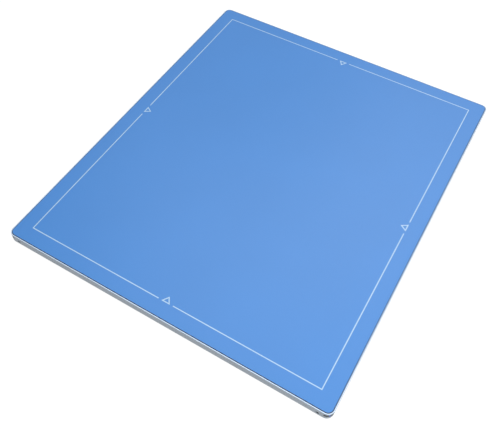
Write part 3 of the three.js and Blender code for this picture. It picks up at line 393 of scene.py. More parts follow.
def edge_wear(
    place,
    half_width=cad_high.x,
    half_length=cad_high.y,
    corner=PANEL_CORNER,
    height=0.0,
    band=1.2 * MM,
    chip=1.4 * MM,
):
    """Rubbed line along one outer edge of the panel, with chips, strongest at its corners."""
    x, y, z = place.parts()
    past_x = abs(x) - half_width + corner
    past_y = abs(y) - half_length + corner
    outside_x = past_x.at_least(0.0)
    outside_y = past_y.at_least(0.0)
    inside = past_x.at_least(past_y).at_most(0.0)
    past_edge = length_of(outside_x, outside_y) + inside - corner
    line = length_of(past_edge, z - height).remap(0.0, band, 1.0, 0.0, smooth=True)
    cornered = outside_x.at_most(outside_y).remap(0.0, corner, 0.35, 1.0)
    chips = place.in_steps_of(chip).noise(detail=4.0, roughness=0.65).remap(0.46, 0.62)
    return [line * cornered * chips]


def brushed_lines(place, run=18 * MM, spacing=0.12 * MM):
    """Lines that run level round a piece, as a belt or a cutter leaves them."""
    steps = field_of(place.tree, "ShaderNodeCombineXYZ", run, run, spacing)
    return [(place / steps).noise(detail=2.0, roughness=0.6).remap(0.3, 0.7)]


def twill_weave(place, tow=2 * MM):
    """Two by two twill of flat tows; the height falls to the sides of each tow."""
    across, down = [part / tow for part in place.parts()[:2]]
    over = (across.floor() + down.floor()) % 4.0 < 2.0
    warp, weft = [abs((tows * HALF_TURN).sine()) for tows in (across, down)]
    return [over.choose(weft, warp), over]


def circuit_tracks(place, pitch=1.1 * MM):
    """Copper tracks and round pads of a printed board."""
    place = place.in_steps_of(pitch)
    x_lines, y_lines = [part.ping_pong(0.5) for part in place.parts()[:2]]
    zones = (place * (0.07, 0.07, 0.0)).noise(detail=0.0, roughness=0.5)
    lines = (zones > 0.5).choose(y_lines, x_lines)
    breaks = (place * (0.25, 0.25, 0.0)).noise(detail=1.0, roughness=0.5)
    cells = place.tree.nodes.new("ShaderNodeTexVoronoi")
    for name, value in (("Vector", place * (1, 1, 0)), ("Scale", 0.35), ("Randomness", 0.8)):
        feed(cells.inputs[name], value)
    return [(lines < 0.14) * (breaks > 0.47), Field(cells.outputs["Distance"]) < 0.13]


EFFECTS = (
    (fine_grain, ["Height"]),
    (slow_tone, ["Tone"]),
    (scuffs, ["Mask"]),
    (edge_wear, ["Mask"]),
    (brushed_lines, ["Height"]),
    (twill_weave, ["Height", "Over"]),
    (circuit_tracks, ["Track", "Pad"]),
)


def make_group(effect, outputs):
    """Node group of a shared effect."""
    tree = bpy.data.node_groups.new(title_of(effect.__name__), "ShaderNodeTree")
    _, *arguments = signature(effect).parameters.values()
    inputs = {title_of(argument.name): argument.default for argument in arguments}
    for title, default in inputs.items():
        socket = tree.interface.new_socket(title, in_out="INPUT", socket_type="NodeSocketFloat")
        socket.default_value = default
    for title in outputs:
        tree.interface.new_socket(title, in_out="OUTPUT", socket_type="NodeSocketFloat")
    given = tree.nodes.new("NodeGroupInput").outputs
    made = tree.nodes.new("NodeGroupOutput").inputs
    fields = effect(place_on_part(tree), *(Field(given[title]) for title in inputs))
    for title, field in zip(outputs, fields):
        feed(made[title], field)


# Finishes

# Painted highlight: below the frame's top by these heights, the pale face colour begins and is full.
BRIGHT_FROM = 0.10 * MM
BRIGHT_ABOVE = 0.05 * MM


class Finish:
    """A material being made: its tree, the sockets of its Principled BSDF, and its base colour."""

    def __init__(self, name, base, roughness, metallic=0.0, coat=0.0, shine=0.5):
        self.material = bpy.data.materials.new(name)
        self.material.use_nodes = True
        self.tree = self.material.node_tree
        self.surface = self.tree.nodes["Principled BSDF"].inputs
        self.base = tuple(base)
        self.surface["Base Color"].default_value = (*base, 1)
        self.surface["Roughness"].default_value = roughness
        self.surface["Metallic"].default_value = metallic
        self.surface["Coat Weight"].default_value = coat
        self.surface["Specular IOR Level"].default_value = shine

    def use(self, effect, output=0, **values):
        """Output of a shared effect, placed in this material with its own values."""
        node = self.tree.nodes.new("ShaderNodeGroup")
        node.node_tree = bpy.data.node_groups[title_of(effect.__name__)]
        for name, value in values.items():
            feed(node.inputs[title_of(name)], value)
        return Field(node.outputs[output])

    def tint(self, mask, other, amount=1.0, strength=1.0):
        """Mixes in, where the mask says, a colour part of the way from the base colour to another."""
        mixed = tuple(own + (new - own) * amount for own, new in zip(self.base, other))
        socket = self.surface["Base Color"]
        before = Field(socket.links[0].from_socket) if socket.links else tuple(socket.default_value)
        mix = add_node(self.tree, "ShaderNodeMix", data_type="RGBA")
        inputs = {given.identifier: given for given in mix.inputs}
        feed(inputs["Factor_Float"], mask * strength)
        feed(inputs["A_Color"], before)
        feed(inputs["B_Color"], (*mixed, 1))
        feed(socket, Field(next(made for made in mix.outputs if made.identifier == "Result_Color")))

    def mottle(self, size, other, amount, seed=0.0):
        """Tints the surface with a slow change of tone."""
        self.tint(self.use(slow_tone, size=size, seed=seed), other, amount)

    def vary(self, title, mask, low, high):
        """Drives a socket such as Roughness from low to high with a mask."""
        feed(self.surface[title], mask.choose(low, high))

    def emboss(self, height, depth):
        """Adds a height of the given depth in metres to the surface normal."""
        bump = self.tree.nodes.new("ShaderNodeBump")
        for name, value in (("Strength", 1), ("Distance", depth), ("Height", height)):
            feed(bump.inputs[name], value)
        socket = self.surface["Normal"]
        if socket.links:
            feed(bump.inputs["Normal"], Field(socket.links[0].from_socket))
        feed(socket, Field(bump.outputs["Normal"]))

    def roughen(self, height, low, high, depth):
        """Varies the roughness with a height, and embosses it."""
        self.vary("Roughness", height, low, high)
        self.emboss(height, depth)


def film_layer(name, base, textures):
    """One colour of the printed film, and the matt grain that all its colours share."""
    roughness = textures.film_roughness
    finish = Finish(name, base, roughness)
    grain = finish.use(fine_grain, size=textures.film_grain)
    finish.roughen(grain, roughness - 0.05, roughness + 0.05, depth=0.004 * MM)
    return finish, grain


def blue_film(scene):
    """Matt polycarbonate film, coloured from behind."""
    finish, grain = film_layer("Blue film", scene.detector_colours.film, scene.detector_textures)
    finish.mottle(95 * MM, BLACK, 0.05)
    finish.tint(grain, WHITE, 0.02, 0.6)
    return finish.material


def border_ink(scene):
    """Pale ink of the border, under the same matt film."""
    colours = scene.detector_colours
    finish, _ = film_layer("Border ink", colours.ink, scene.detector_textures)
    finish.mottle(25 * MM, colours.film, 0.12, seed=3.0)
    return finish.material


def carbon_plate(scene):
    """Matt carbon fibre twill, dark all over; the dark of its cut edge is partly painted shade for the gap
    round the film.
    """
    tow = scene.detector_textures.tow
    finish = Finish("Carbon plate", scene.detector_colours.plate, 0.55, shine=0.3)
    # Painted sheen: the tows that lie over are tinted lighter, as if light caught one way of the weave.
    finish.tint(finish.use(twill_weave, "Over", tow=tow), WHITE, 0.04)
    finish.emboss(finish.use(twill_weave, tow=tow), depth=0.05 * MM)
    return finish.material


def frame_metal(scene, low, high):
    """Aluminium with a blasted, anodised side and a face round the plate, between two heights; that face is
    partly bright cut metal and partly a painted highlight, in pale blue-white.
    """
    colours = scene.detector_colours
    finish = Finish("Frame metal", colours.side, 0.65, metallic=0.2)
    height = place_on_part(finish.tree).parts()[Z]
    # Painted highlight: the band at the top of the frame is tinted pale, lighter than the side, as well as
    # smoother.
    bright = height.remap(high - BRIGHT_FROM, high - BRIGHT_ABOVE)
    grain = finish.use(fine_grain, size=scene.detector_textures.blast_grain, contrast=0.8)
    scratched = finish.use(scuffs, length=22 * MM, turn=0.0, amount=0.25)
    upper_edge = finish.use(edge_wear, height=high - FRAME_CHAMFER, band=0.45 * MM)
    lower_edge = finish.use(edge_wear, height=low, band=0.35 * MM)
    finish.mottle(40 * MM, BLACK, 0.08)
    finish.tint(grain, WHITE, 0.08, 0.5)
    finish.tint(scratched, colours.bezel, strength=0.25)
    finish.tint(upper_edge, colours.bezel, strength=0.6)
    finish.tint(lower_edge, colours.bezel, strength=0.6)
    finish.tint(bright, colours.bezel)
    finish.vary("Roughness", bright, 0.65, 0.5)
    finish.vary("Metallic", bright, 0.2, 0.1)
    lines = finish.use(brushed_lines, run=25 * MM, spacing=0.4 * MM)
    blasted = 1.0 - bright
    finish.emboss(grain * blasted, depth=0.010 * MM)
    finish.emboss(lines * blasted, depth=0.004 * MM)
    return finish.material


def moulded_polymer(name, base, textures, roughness=0.55, shine=0.5):
    """Spark grained moulding that is polished a little where it has been rubbed."""
    finish = Finish(name, base, roughness, shine=shine)
    rubbed = finish.use(scuffs, length=12 * MM, width=0.4 * MM, turn=0.7, amount=0.35)
    finish.mottle(20 * MM, WHITE, 0.025)
    finish.tint(rubbed, WHITE, 0.14, 0.6)
    grain = finish.use(fine_grain, size=textures.mould_grain, contrast=0.7)
    finish.roughen(grain, roughness - 0.08, roughness + 0.08, depth=0.03 * MM)
    return finish.material


def tinted_lens(name, colour_of_lens, lamp):
    """Tinted clear lens over a lamp of the given strength, with random patches of painted glow."""
    finish = Finish(name, colour_of_lens, 0.12, coat=0.4)
    # Painted glow: random lighter patches in the lens, standing for its lamp's light, also when the lamp is
    # off.
    glow = finish.use(slow_tone, size=1.2 * MM)
    finish.tint(glow, WHITE, 0.12, 0.7)
    finish.surface["Coat Roughness"].default_value = 0.05
    finish.surface["Emission Color"].default_value = (*colour_of_lens, 1)
    finish.surface["Emission Strength"].default_value = lamp
    return finish.material


def cover_paint(scene):
    """Silver grey structured paint, rubbed through to the metal along the rim and round the rear face."""
    colours = scene.detector_colours
    textures = scene.detector_textures
    finish = Finish("Cover paint", colours.cover, 0.5)
    rim = finish.use(edge_wear, height=COVER_SLOPE, band=0.8 * MM)
    foot = finish.use(
        edge_wear,
        half_width=cad_high.x - COVER_SLOPE,
        half_length=cad_high.y - COVER_SLOPE,
        corner=PANEL_CORNER - COVER_SLOPE,
        band=1.3 * MM,
    )
    worn = rim.at_least(foot)
    rubbed = finish.use(scuffs, length=45 * MM, width=0.35 * MM, turn=1.35, amount=0.45)
    finish.mottle(80 * MM, BLACK, 0.07, seed=7.0)
    finish.tint(finish.use(fine_grain, size=textures.blast_grain), WHITE, 0.10, 0.5)
    finish.tint(rubbed, WHITE, 0.35, 0.5)
    finish.tint(worn, colours.primer, strength=0.8)
    finish.vary("Roughness", rubbed, 0.52, 0.34)
    finish.vary("Metallic", worn, 0.0, 0.8)
    finish.emboss(finish.use(fine_grain, size=textures.paint_grain, contrast=0.9), depth=0.05 * MM)
    return finish.material


def turned_metal(name, base, roughness):
    """Turned and polished steel of screws, rings, springs and cans."""
    finish = Finish(name, base, roughness, metallic=1.0)
    finish.mottle(3 * MM, BLACK, 0.18)
    scratched = finish.use(scuffs, length=3 * MM, width=0.08 * MM, amount=0.4)
    finish.tint(scratched, WHITE, 0.3, 0.5)
    lines = finish.use(brushed_lines, run=2.5 * MM, spacing=0.06 * MM)
    finish.roughen(lines, roughness - 0.07, roughness + 0.07, depth=0.004 * MM)
    return finish.material


def seal_rubber():
    """Black silicone of the seals."""
    finish = Finish("Seal rubber", (0.013, 0.014, 0.016), 0.8)
    finish.mottle(14 * MM, WHITE, 0.04)
    finish.roughen(finish.use(fine_grain, size=0.3 * MM), 0.72, 0.88, depth=0.01 * MM)
    return finish.material


def grey_foam():
    """Open cell foam that presses the sensor stack to the plate."""
    finish = Finish("Grey foam", (0.105, 0.112, 0.122), 0.95)
    pores = finish.use(fine_grain, size=0.7 * MM, contrast=0.35)
    # Painted shade: the pores are tinted dark, as if shade lay in them; the same mask gives their bump.
    finish.tint(pores, BLACK, 0.7, 0.8)
    finish.emboss(pores, depth=0.2 * MM)
    return finish.material


def scintillator_coat():
    """Powdery white layer that turns x-rays into light."""
    finish = Finish("Scintillator", (0.80, 0.83, 0.76), 0.75)
    finish.mottle(70 * MM, BLACK, 0.06)
    finish.roughen(finish.use(fine_grain, size=0.25 * MM), 0.68, 0.82, depth=0.01 * MM)
    return finish.material


def sensor_glass():
    """Dark coated glass with the fine grid of its picture cells."""
    violet = (0.16, 0.10, 0.22)
    finish = Finish("Sensor glass", (0.060, 0.085, 0.105), 0.08)
    finish.tint(finish.use(twill_weave, tow=0.6 * MM), violet, 0.5, 0.7)
    finish.vary("Roughness", finish.use(slow_tone, size=50 * MM), 0.06, 0.12)
    return finish.material


def lead_sheet():
    """Rolled lead sheet, dull and dented."""
    finish = Finish("Lead sheet", (0.16, 0.175, 0.195), 0.6, metallic=0.6)
    dents = finish.use(slow_tone, size=9 * MM)
    rubbed = finish.use(scuffs, length=60 * MM, width=0.6 * MM, turn=1.57, amount=0.6)
    # Painted shade: the dents are tinted darker; the same mask gives their bump and roughness.
    finish.tint(dents, BLACK, 0.25)
    finish.tint(rubbed, WHITE, 0.3, 0.6)
    finish.roughen(dents, 0.5, 0.7, depth=0.15 * MM)
    return finish.material


def cast_metal():
    """Cast magnesium carrier with its fine skin."""
    finish = Finish("Cast metal", (0.33, 0.35, 0.375), 0.5, metallic=0.8)
    cast_skin = finish.use(fine_grain, size=0.6 * MM, contrast=0.7)
    finish.mottle(35 * MM, BLACK, 0.22)
    finish.tint(cast_skin, WHITE, 0.15, 0.5)
    finish.roughen(cast_skin, 0.42, 0.6, depth=0.05 * MM)
    return finish.material


def circuit_board(scene):
    """Green solder mask over copper tracks, with tinned pads."""
    pitch = scene.detector_textures.track_pitch
    masked_copper = (0.20, 0.42, 0.10)
    tin = (0.62, 0.60, 0.55)
    finish = Finish("Circuit board", scene.detector_colours.board, 0.35)
    track = finish.use(circuit_tracks, pitch=pitch)
    pad = finish.use(circuit_tracks, "Pad", pitch=pitch)
    finish.tint(track, masked_copper, 0.5)
    finish.tint(pad, tin)
    finish.vary("Metallic", pad, 0.0, 1.0)
    finish.emboss(track, depth=0.03 * MM)
    return finish.material


def film_cable():
    """Amber film cable with its copper lines."""
    copper = (0.30, 0.10, 0.020)
    finish = Finish("Film cable", (0.42, 0.19, 0.028), 0.4, coat=0.5)
    finish.tint(finish.use(twill_weave, tow=0.5 * MM), copper, strength=0.8)
    finish.mottle(12 * MM, BLACK, 0.15)
    return finish.material


def contact_gold():
    """Gold plated contacts with bright rubbed tips."""
    finish = Finish("Contact gold", (0.72, 0.46, 0.13), 0.25, metallic=1.0)
    rubbed = finish.use(scuffs, length=0.8 * MM, width=0.05 * MM, turn=0.0, amount=0.5)
    finish.tint(rubbed, WHITE, 0.35, 0.6)
    finish.vary("Roughness", finish.use(fine_grain, size=0.1 * MM), 0.18, 0.32)
    return finish.material


def blank_label(scene):
    """Satin metallised film of a label that is left blank."""
    finish = Finish("Blank label", scene.detector_colours.label, 0.35, metallic=0.4)
    rubbed = finish.use(scuffs, length=18 * MM, width=0.2 * MM, turn=0.9, amount=0.4)
    finish.mottle(30 * MM, BLACK, 0.06, seed=2.0)
    finish.tint(rubbed, BLACK, 0.25, 0.5)
    finish.roughen(finish.use(fine_grain, size=0.25 * MM), 0.3, 0.42, depth=0.006 * MM)
    return finish.material


def grip_rubber(scene):
    """Soft rubber of the grip pads, greyer where hands have polished it."""
    finish = Finish("Grip rubber", scene.detector_colours.grip, 0.7)
    touched = finish.use(slow_tone, size=16 * MM, seed=5.0)
    finish.tint(touched, WHITE, 0.05)
    finish.vary("Roughness", touched, 0.76, 0.58)
    finish.emboss(finish.use(fine_grain, size=0.45 * MM), depth=0.02 * MM)
    return finish.material


def clear_window():
    """Frosted clear window over the status lamps."""
    finish = Finish("Clear window", (0.55, 0.62, 0.66), 0.25, coat=0.6)
    finish.mottle(4 * MM, WHITE, 0.3)
    finish.roughen(finish.use(fine_grain, size=0.2 * MM), 0.18, 0.34, depth=0.004 * MM)
    return finish.material


def cell_foil():
    """Crinkled foil pouch of a battery cell."""
    finish = Finish("Cell foil", (0.56, 0.58, 0.60), 0.3, metallic=0.8)
    creases = finish.use(slow_tone, size=7 * MM, seed=4.0)
    # Painted shade: the creases are tinted darker; the same mask gives their bump and roughness.
    finish.tint(creases, BLACK, 0.12)
    finish.roughen(creases, 0.24, 0.42, depth=0.25 * MM)
    return finish.material


# Shapes

ONE_POINT = 0.001 * MM
SHARP_ANGLE = math.radians(30)
FLAT_ANGLE = math.radians(1)
BEVEL_ANGLE = math.radians(35)
BEVEL_SEGMENTS = 2


def rounded_outline(half_x, half_y, radius, steps):
    """Points of a rounded rectangle round the origin, anticlockwise."""
    points = []
    for turn, (x_sign, y_sign) in enumerate(((1, 1), (-1, 1), (-1, -1), (1, -1))):
        for step in range(steps + 1):
            bend = QUARTER * (turn + step / steps)
            x = x_sign * (half_x - radius) + radius * math.cos(bend)
            y = y_sign * (half_y - radius) + radius * math.sin(bend)
            points.append(Vector((x, y)))
    befores = points[-1:] + points
    return [point for before, point in zip(befores, points) if (point - before).length > ONE_POINT]


def level(points, height):
    """Flat points lifted to a height."""
    return [Vector((point.x, point.y, height)) for point in points]


def skin(rings, cap_top=True):
    """Vertices and faces of a closed skin over rings with equally many points, from the lowest up."""
    count = len(rings[0])
    vertices = [point for ring in rings for point in ring]
    faces = [tuple(reversed(range(count)))]
    for start in range(0, count * (len(rings) - 1), count):
        for step in range(count):
            following = (step + 1) % count
            faces.append((start + step, start + following, start + count + following, start + count + step))
    if cap_top:
        faces.append(tuple(range(len(vertices) - count, len(vertices))))
    return vertices, faces


def make_mesh(name, vertices, faces, inked=()):
    """Mesh with smooth faces and sharp corners; the faces whose numbers are inked take the second finish."""
    mesh = bpy.data.meshes.new(name)
    mesh.from_pydata(vertices, [], faces)
    for number in inked:
        mesh.polygons[number].material_index = 1
    mesh.shade_smooth()
    mesh.set_sharp_from_angle(angle=SHARP_ANGLE)
    mesh.validate()
    return mesh


def add_object(name, data):
    """New object of the scene that shows a mesh, a lamp or a camera."""
    made = bpy.data.objects.new(name, data)
    bpy.context.scene.collection.objects.link(made)
    return made


def add_piece(name, mesh, node_name, *materials):
    """Shows a finer piece in place of a CAD node, on the node's own body."""
    node = frame["nodes"][node_name]
    for material in materials:
        mesh.materials.append(material)
    piece = add_object(name, mesh)
    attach(piece, node["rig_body"])
    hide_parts(node_name)
    return piece


def dress(names, material, edge):
    """Gives CAD nodes a finish and rounds their edges, without touching their own meshes."""
    for name in names:
        node = frame["nodes"][name]
        node.material_slots[0].material = material
        joined = node.modifiers.new("Join corners", "WELD")
        joined.merge_threshold = ONE_POINT
        flat = node.modifiers.new("Join flat faces", "DECIMATE")
        flat.decimate_type = "DISSOLVE"
        flat.angle_limit = FLAT_ANGLE
        soft = node.modifiers.new("Round edges", "BEVEL")
        soft.width = edge
        soft.segments = BEVEL_SEGMENTS
        soft.limit_method = "ANGLE"
        soft.angle_limit = BEVEL_ANGLE
        node.modifiers.new("Even shading", "WEIGHTED_NORMAL")


def numbered(stem, count):
    """Names of like nodes, numbered from 1."""
    return [f"{stem}_{number}" for number in range(1, count + 1)]


# Printed film

FILM_EDGE = 0.06 * MM
FILM_CORNER_STEPS = 12
INSIDE_LOOPS = 1
SAME_PLACE = 0.0001 * MM


def border_corner(sizes, x_sign, y_sign):
    """Outline of one corner of the border, with its two arms up to the gaps, anticlockwise."""
    half_line = sizes.line_width / 2
    outer_x = sizes.half_width + half_line
    outer_y = sizes.half_length + half_line
    inner_x = sizes.half_width - half_line
    inner_y = sizes.half_length - half_line
    points = [
        (sizes.gap, inner_y),
        (inner_x, inner_y),
        (inner_x, sizes.gap),
        (outer_x, sizes.gap),
        (outer_x, outer_y),
        (sizes.gap, outer_y),
    ]
    outline = [Vector((x * x_sign, y * y_sign)) for x, y in points]
    return outline if x_sign * y_sign > 0 else outline[::-1]


def centre_mark(sizes, out):
    """Outer and inner outline of the hollow triangle at the middle of one side; out points to that side."""
    reach = sizes.half_width if out.x else sizes.half_length
    base = out * (reach + sizes.line_width / 2)
    side = Vector((-out.y, out.x)) * sizes.mark_half_base
    outer = [base - side, base - out * sizes.mark_height, base + side]
    slope = math.hypot(sizes.mark_half_base, sizes.mark_height)
    inner_radius = sizes.mark_half_base * sizes.mark_height / (sizes.mark_half_base + slope)
    middle = base - out * inner_radius
    inner = [middle + (point - middle) * (1 - sizes.mark_stroke / inner_radius) for point in outer]
    return outer[::-1], inner[::-1]


def printed_film(sizes):
    """The film, with the border and the marks as faces of their own in its top."""
    low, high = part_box("front_film")
    radius = PANEL_CORNER - (cad_high.x - high.x)
    outline = rounded_outline(high.x, high.y, radius, FILM_CORNER_STEPS)
    top = rounded_outline(high.x - FILM_EDGE, high.y - FILM_EDGE, radius - FILM_EDGE, FILM_CORNER_STEPS)
    rings = [level(outline, low.z), level(outline, high.z - FILM_EDGE), level(top, high.z)]
    vertices, faces = skin(rings, cap_top=False)
    corners = [border_corner(sizes, x_sign, y_sign) for x_sign in (-1, 1) for y_sign in (-1, 1)]
    marks = [centre_mark(sizes, Vector(out)) for out in ((1, 0), (0, 1), (-1, 0), (0, -1))]
    shapes = [top, *corners, *(outer for outer, _ in marks), *(inner for _, inner in marks)]
    points = [point for shape in shapes for point in shape]
    loops = []
    for shape in shapes:
        start = loops[-1][-1] + 1 if loops else 0
        loops.append(list(range(start, start + len(shape))))
    divided = delaunay_2d_cdt(points, [], loops, INSIDE_LOOPS, SAME_PLACE, True)
    flat_points, _, flat_faces, sources, _, regions = divided
    first_top = len(vertices) - len(top)
    numbers = []
    for point, source in zip(flat_points, sources):
        rim = next((number for number in source if number < len(top)), None)
        if rim is None:
            numbers.append(len(vertices))
            vertices.append(Vector((point.x, point.y, high.z)))
        else:
            numbers.append(first_top + rim)
    holes = range(len(shapes) - len(marks), len(shapes))
    inked = []
    for face, region in zip(flat_faces, regions):
        if any(number > 0 for number in region) and not any(number in holes for number in region):
            inked.append(len(faces))
        faces.append(tuple(numbers[number] for number in face))
    return make_mesh("printed_film", vertices, faces, inked)


# Screws, button, lens and springs

ROUND_SIDES = 24
THREAD_PITCH = 0.5 * MM
THREAD_DEPTH = 0.14 * MM
SHOULDER_STEPS = 3
DRIVE_BEVEL = 0.12
DRIVE_TIP_WIDTH = 0.4
DRIVE_TIP_DEPTH = 1.15
COVER_SCREW = {
    "head_height": 0.8 * MM,
    "shank_radius": 1.0 * MM,
    "drive_radius": 1.08 * MM,
    "drive_depth": 0.45 * MM,
}
EDGE_SCREW = {
    "head_height": 0.7 * MM,
    "shank_radius": 0.9 * MM,
    "drive_radius": 0.8 * MM,
    "drive_depth": 0.4 * MM,
}
LENS_DOME = 0.35 * MM
LENS_STEPS = 5
BUTTON_RIM = 0.35 * MM
BUTTON_RIM_STEPS = 4
BUTTON_END_STEPS = 8
BUTTON_DISH = ((0.35, 0.04 * MM), (0.6, 0.12 * MM), (0.85, 0.18 * MM))
SPRING_THICKNESS = 0.35 * MM
SPRING_FOLDS = 6
SPRING_BEND_STEPS = 8


def turns_round():
    """Angles of the points of a ring, anticlockwise."""
    return [2 * HALF_TURN * step / ROUND_SIDES for step in range(ROUND_SIDES)]


def circle(radius, height):
    """Ring of points round the Z axis."""
    return [Vector((radius * math.cos(turn), radius * math.sin(turn), height)) for turn in turns_round()]


def hexagon(radius, height):
    """Ring along a hexagon with the given corner radius, with as many points as a circle."""
    sixth = HALF_TURN / 3
    points = []
    for turn in turns_round():
        reach = radius * math.cos(sixth / 2) / math.cos(turn % sixth - sixth / 2)
        points.append(Vector((reach * math.cos(turn), reach * math.sin(turn), height)))
    return points


def quarter_bends(steps):
    """Angles from 0 to a quarter turn, both included."""
    return [QUARTER * step / steps for step in range(steps + 1)]


def screw_mesh(name, length, head_radius, head_height, shank_radius, drive_radius, drive_depth):
    """Screw with its head's face at the origin, looking up: thread, shouldered head and hexagon drive."""
    root_radius = shank_radius - THREAD_DEPTH
    rounding = head_height / 3
    rings = [circle(root_radius, -length)]
    for turn in range(int((length - head_height) / THREAD_PITCH) - 1):
        height = (turn + 0.25) * THREAD_PITCH - length
        rings += [circle(shank_radius, height), circle(root_radius, height + THREAD_PITCH / 2)]
    rings += [
        circle(root_radius, -head_height),
        circle(head_radius - rounding / 2, -head_height),
        circle(head_radius, rounding / 2 - head_height),
    ]
    for bend in quarter_bends(SHOULDER_STEPS):
        inward = rounding * (1 - math.cos(bend))
        rings.append(circle(head_radius - inward, rounding * (math.sin(bend) - 1)))
    rings += [
        hexagon(drive_radius * (1 + DRIVE_BEVEL), 0),
        hexagon(drive_radius, -drive_radius * DRIVE_BEVEL),
        hexagon(drive_radius, -drive_depth),
        hexagon(drive_radius * DRIVE_TIP_WIDTH, -drive_depth * DRIVE_TIP_DEPTH),
    ]
    return make_mesh(name, *skin(rings))


def add_screw(name, node, axis, turn, sizes, material):
    """Shows a screw in place of a node that lies along an axis; a turn round X points its head outward."""
    low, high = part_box(node)
    mesh = screw_mesh(name, high[axis] - low[axis], (high.x - low.x) / 2, **sizes)
    face = (low + high) / 2
    face[axis] = high[axis] if turn < 0 else low[axis]
    mesh.transform(Matrix.Translation(face) @ Matrix.Rotation(turn, 4, "X"))
    add_piece(name, mesh, node, material)


def lens_mesh():
    """Domed lens that looks out of the near corner, level."""
    low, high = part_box("status_lens")
    radius = (high.z - low.z) / 2
    reach = (high.x - low.x) * math.sqrt(2) - 2 * radius
    rings = [circle(radius, -reach)]
    for bend in quarter_bends(LENS_STEPS)[:-1]:
        rings.append(circle(radius * math.cos(bend), LENS_DOME * (math.sin(bend) - 1)))
    mesh = make_mesh("domed_lens", *skin(rings))
    corner = Vector((1, -1, 0))
    face = Vector((high.x, low.y, (low.z + high.z) / 2)) - corner * radius * math.sqrt(0.5)
    outward = corner.normalized().to_track_quat("Z", "Y").to_matrix().to_4x4()
    mesh.transform(Matrix.Translation(face) @ outward)
    return mesh


def button_ring(half_y, half_z, height):
    """Ring with two half round ends, round an upright axis."""
    return level(rounded_outline(half_y, half_z, half_z, BUTTON_END_STEPS), height)


def button_mesh():
    """Button cap with a soft rim and a shallow finger dish, on its hidden flange, looking along X."""
    low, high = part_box("power_button")
    depth = high.x - low.x
    flange_y = (high.y - low.y) / 2
    flange_z = (high.z - low.z) / 2
    cap_y = flange_y - BUTTON_LIP_ALONG
    cap_z = flange_z - BUTTON_LIP_UP
    rings = [
        button_ring(flange_y, flange_z, 0),
        button_ring(flange_y, flange_z, BUTTON_FLANGE),
        button_ring(cap_y, cap_z, BUTTON_FLANGE),
    ]
    for bend in quarter_bends(BUTTON_RIM_STEPS):
        inward = BUTTON_RIM * (1 - math.cos(bend))
        height = depth - BUTTON_RIM * (1 - math.sin(bend))
        rings.append(button_ring(cap_y - inward, cap_z - inward, height))
    for share_in, dip in BUTTON_DISH:
        inward = cap_z * share_in
        rings.append(button_ring(cap_y - inward, cap_z - inward, depth - dip))
    mesh = make_mesh("button_cap", *skin(rings))
    upright = Matrix(((0, 0, 1, 0), (1, 0, 0, 0), (0, 1, 0, 0), (0, 0, 0, 1)))
    middle = (low + high) / 2
    mesh.transform(Matrix.Translation((low.x, middle.y, middle.z)) @ upright)
    return mesh


def spring_path(low, high):
    """Middle line of a folded strip that starts at its low end: bars across, joined by round bends."""
    pitch = (high.y - low.y - SPRING_THICKNESS) / SPRING_FOLDS
    bend_radius = pitch / 2
    end_x = (high.x - low.x) / 2 - bend_radius - SPRING_THICKNESS / 2
    middle_x = (low.x + high.x) / 2
    start_y = low.y + SPRING_THICKNESS / 2
    path = [Vector((middle_x - end_x, start_y))]
    side = 1
    for fold in range(SPRING_FOLDS):
        centre = Vector((middle_x + side * end_x, start_y + (fold + 0.5) * pitch))
        for step in range(SPRING_BEND_STEPS + 1):
            turn = HALF_TURN * step / SPRING_BEND_STEPS - QUARTER
            path.append(centre + Vector((side * math.cos(turn), math.sin(turn))) * bend_radius)
        side = -side
    path.append(Vector((middle_x + side * end_x, start_y + SPRING_FOLDS * pitch)))
    return path


def folded_spring(side, material):
    """Flat folded spring behind a latch."""
    node = f"latch_spring_{side}"
    low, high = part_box(node)
    path = spring_path(low, high)
    rings = []
    for before, point, after in zip(path[:1] + path, path, path[1:] + path[-1:]):
        across = (after - before).normalized().orthogonal() * SPRING_THICKNESS / 2
        corners = [(1, low.z), (1, high.z), (-1, high.z), (-1, low.z)]
        rings.append([Vector((*(point + across * sign), height)) for sign, height in corners])
    name = f"folded_spring_{side}"
    piece = add_piece(name, make_mesh(name, *skin(rings)), node, material)
    length = high.y - low.y
    anchor = ((low.x + high.x) / 2, high.y, low.z)
    joint = f"{side}_latch_slide"
    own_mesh(piece)


# Pads, blank labels and charge lamps on the rear

BEDDING = 0.02 * MM
INSERT_EDGE = 0.08 * MM
INSERT_CORNER_STEPS = 6
CHARGE_LAMPS = 4


def facing_down(half_x, half_y, radius, top, bottom):
    """Vertices and faces of a flat insert with a softened lower edge, round the origin."""
    edge = min(INSERT_EDGE, (top - bottom) / 2)
    outline = rounded_outline(half_x, half_y, radius, INSERT_CORNER_STEPS)
    soft = rounded_outline(half_x - edge, half_y - edge, radius - edge, INSERT_CORNER_STEPS)
    return skin([level(soft, bottom), level(outline, bottom + edge), level(outline, top)])


def add_insert(name, shapes, body, slot, material):
    """Joins closed shapes into one piece that lies in or on a face of a body."""
    vertices = []
    faces = []
    for shape_vertices, shape_faces in shapes:
        first = len(vertices)
        vertices += shape_vertices
        faces += [tuple(first + number for number in face) for face in shape_faces]
    mesh = make_mesh(name, vertices, faces)
    mesh.materials.append(material)
    piece = add_object(name, mesh)
    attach(piece, body)


def moved(shape, x, y):
    """A shape's vertices and faces, moved level."""
    vertices, faces = shape
    return [point + Vector((x, y, 0)) for point in vertices], faces


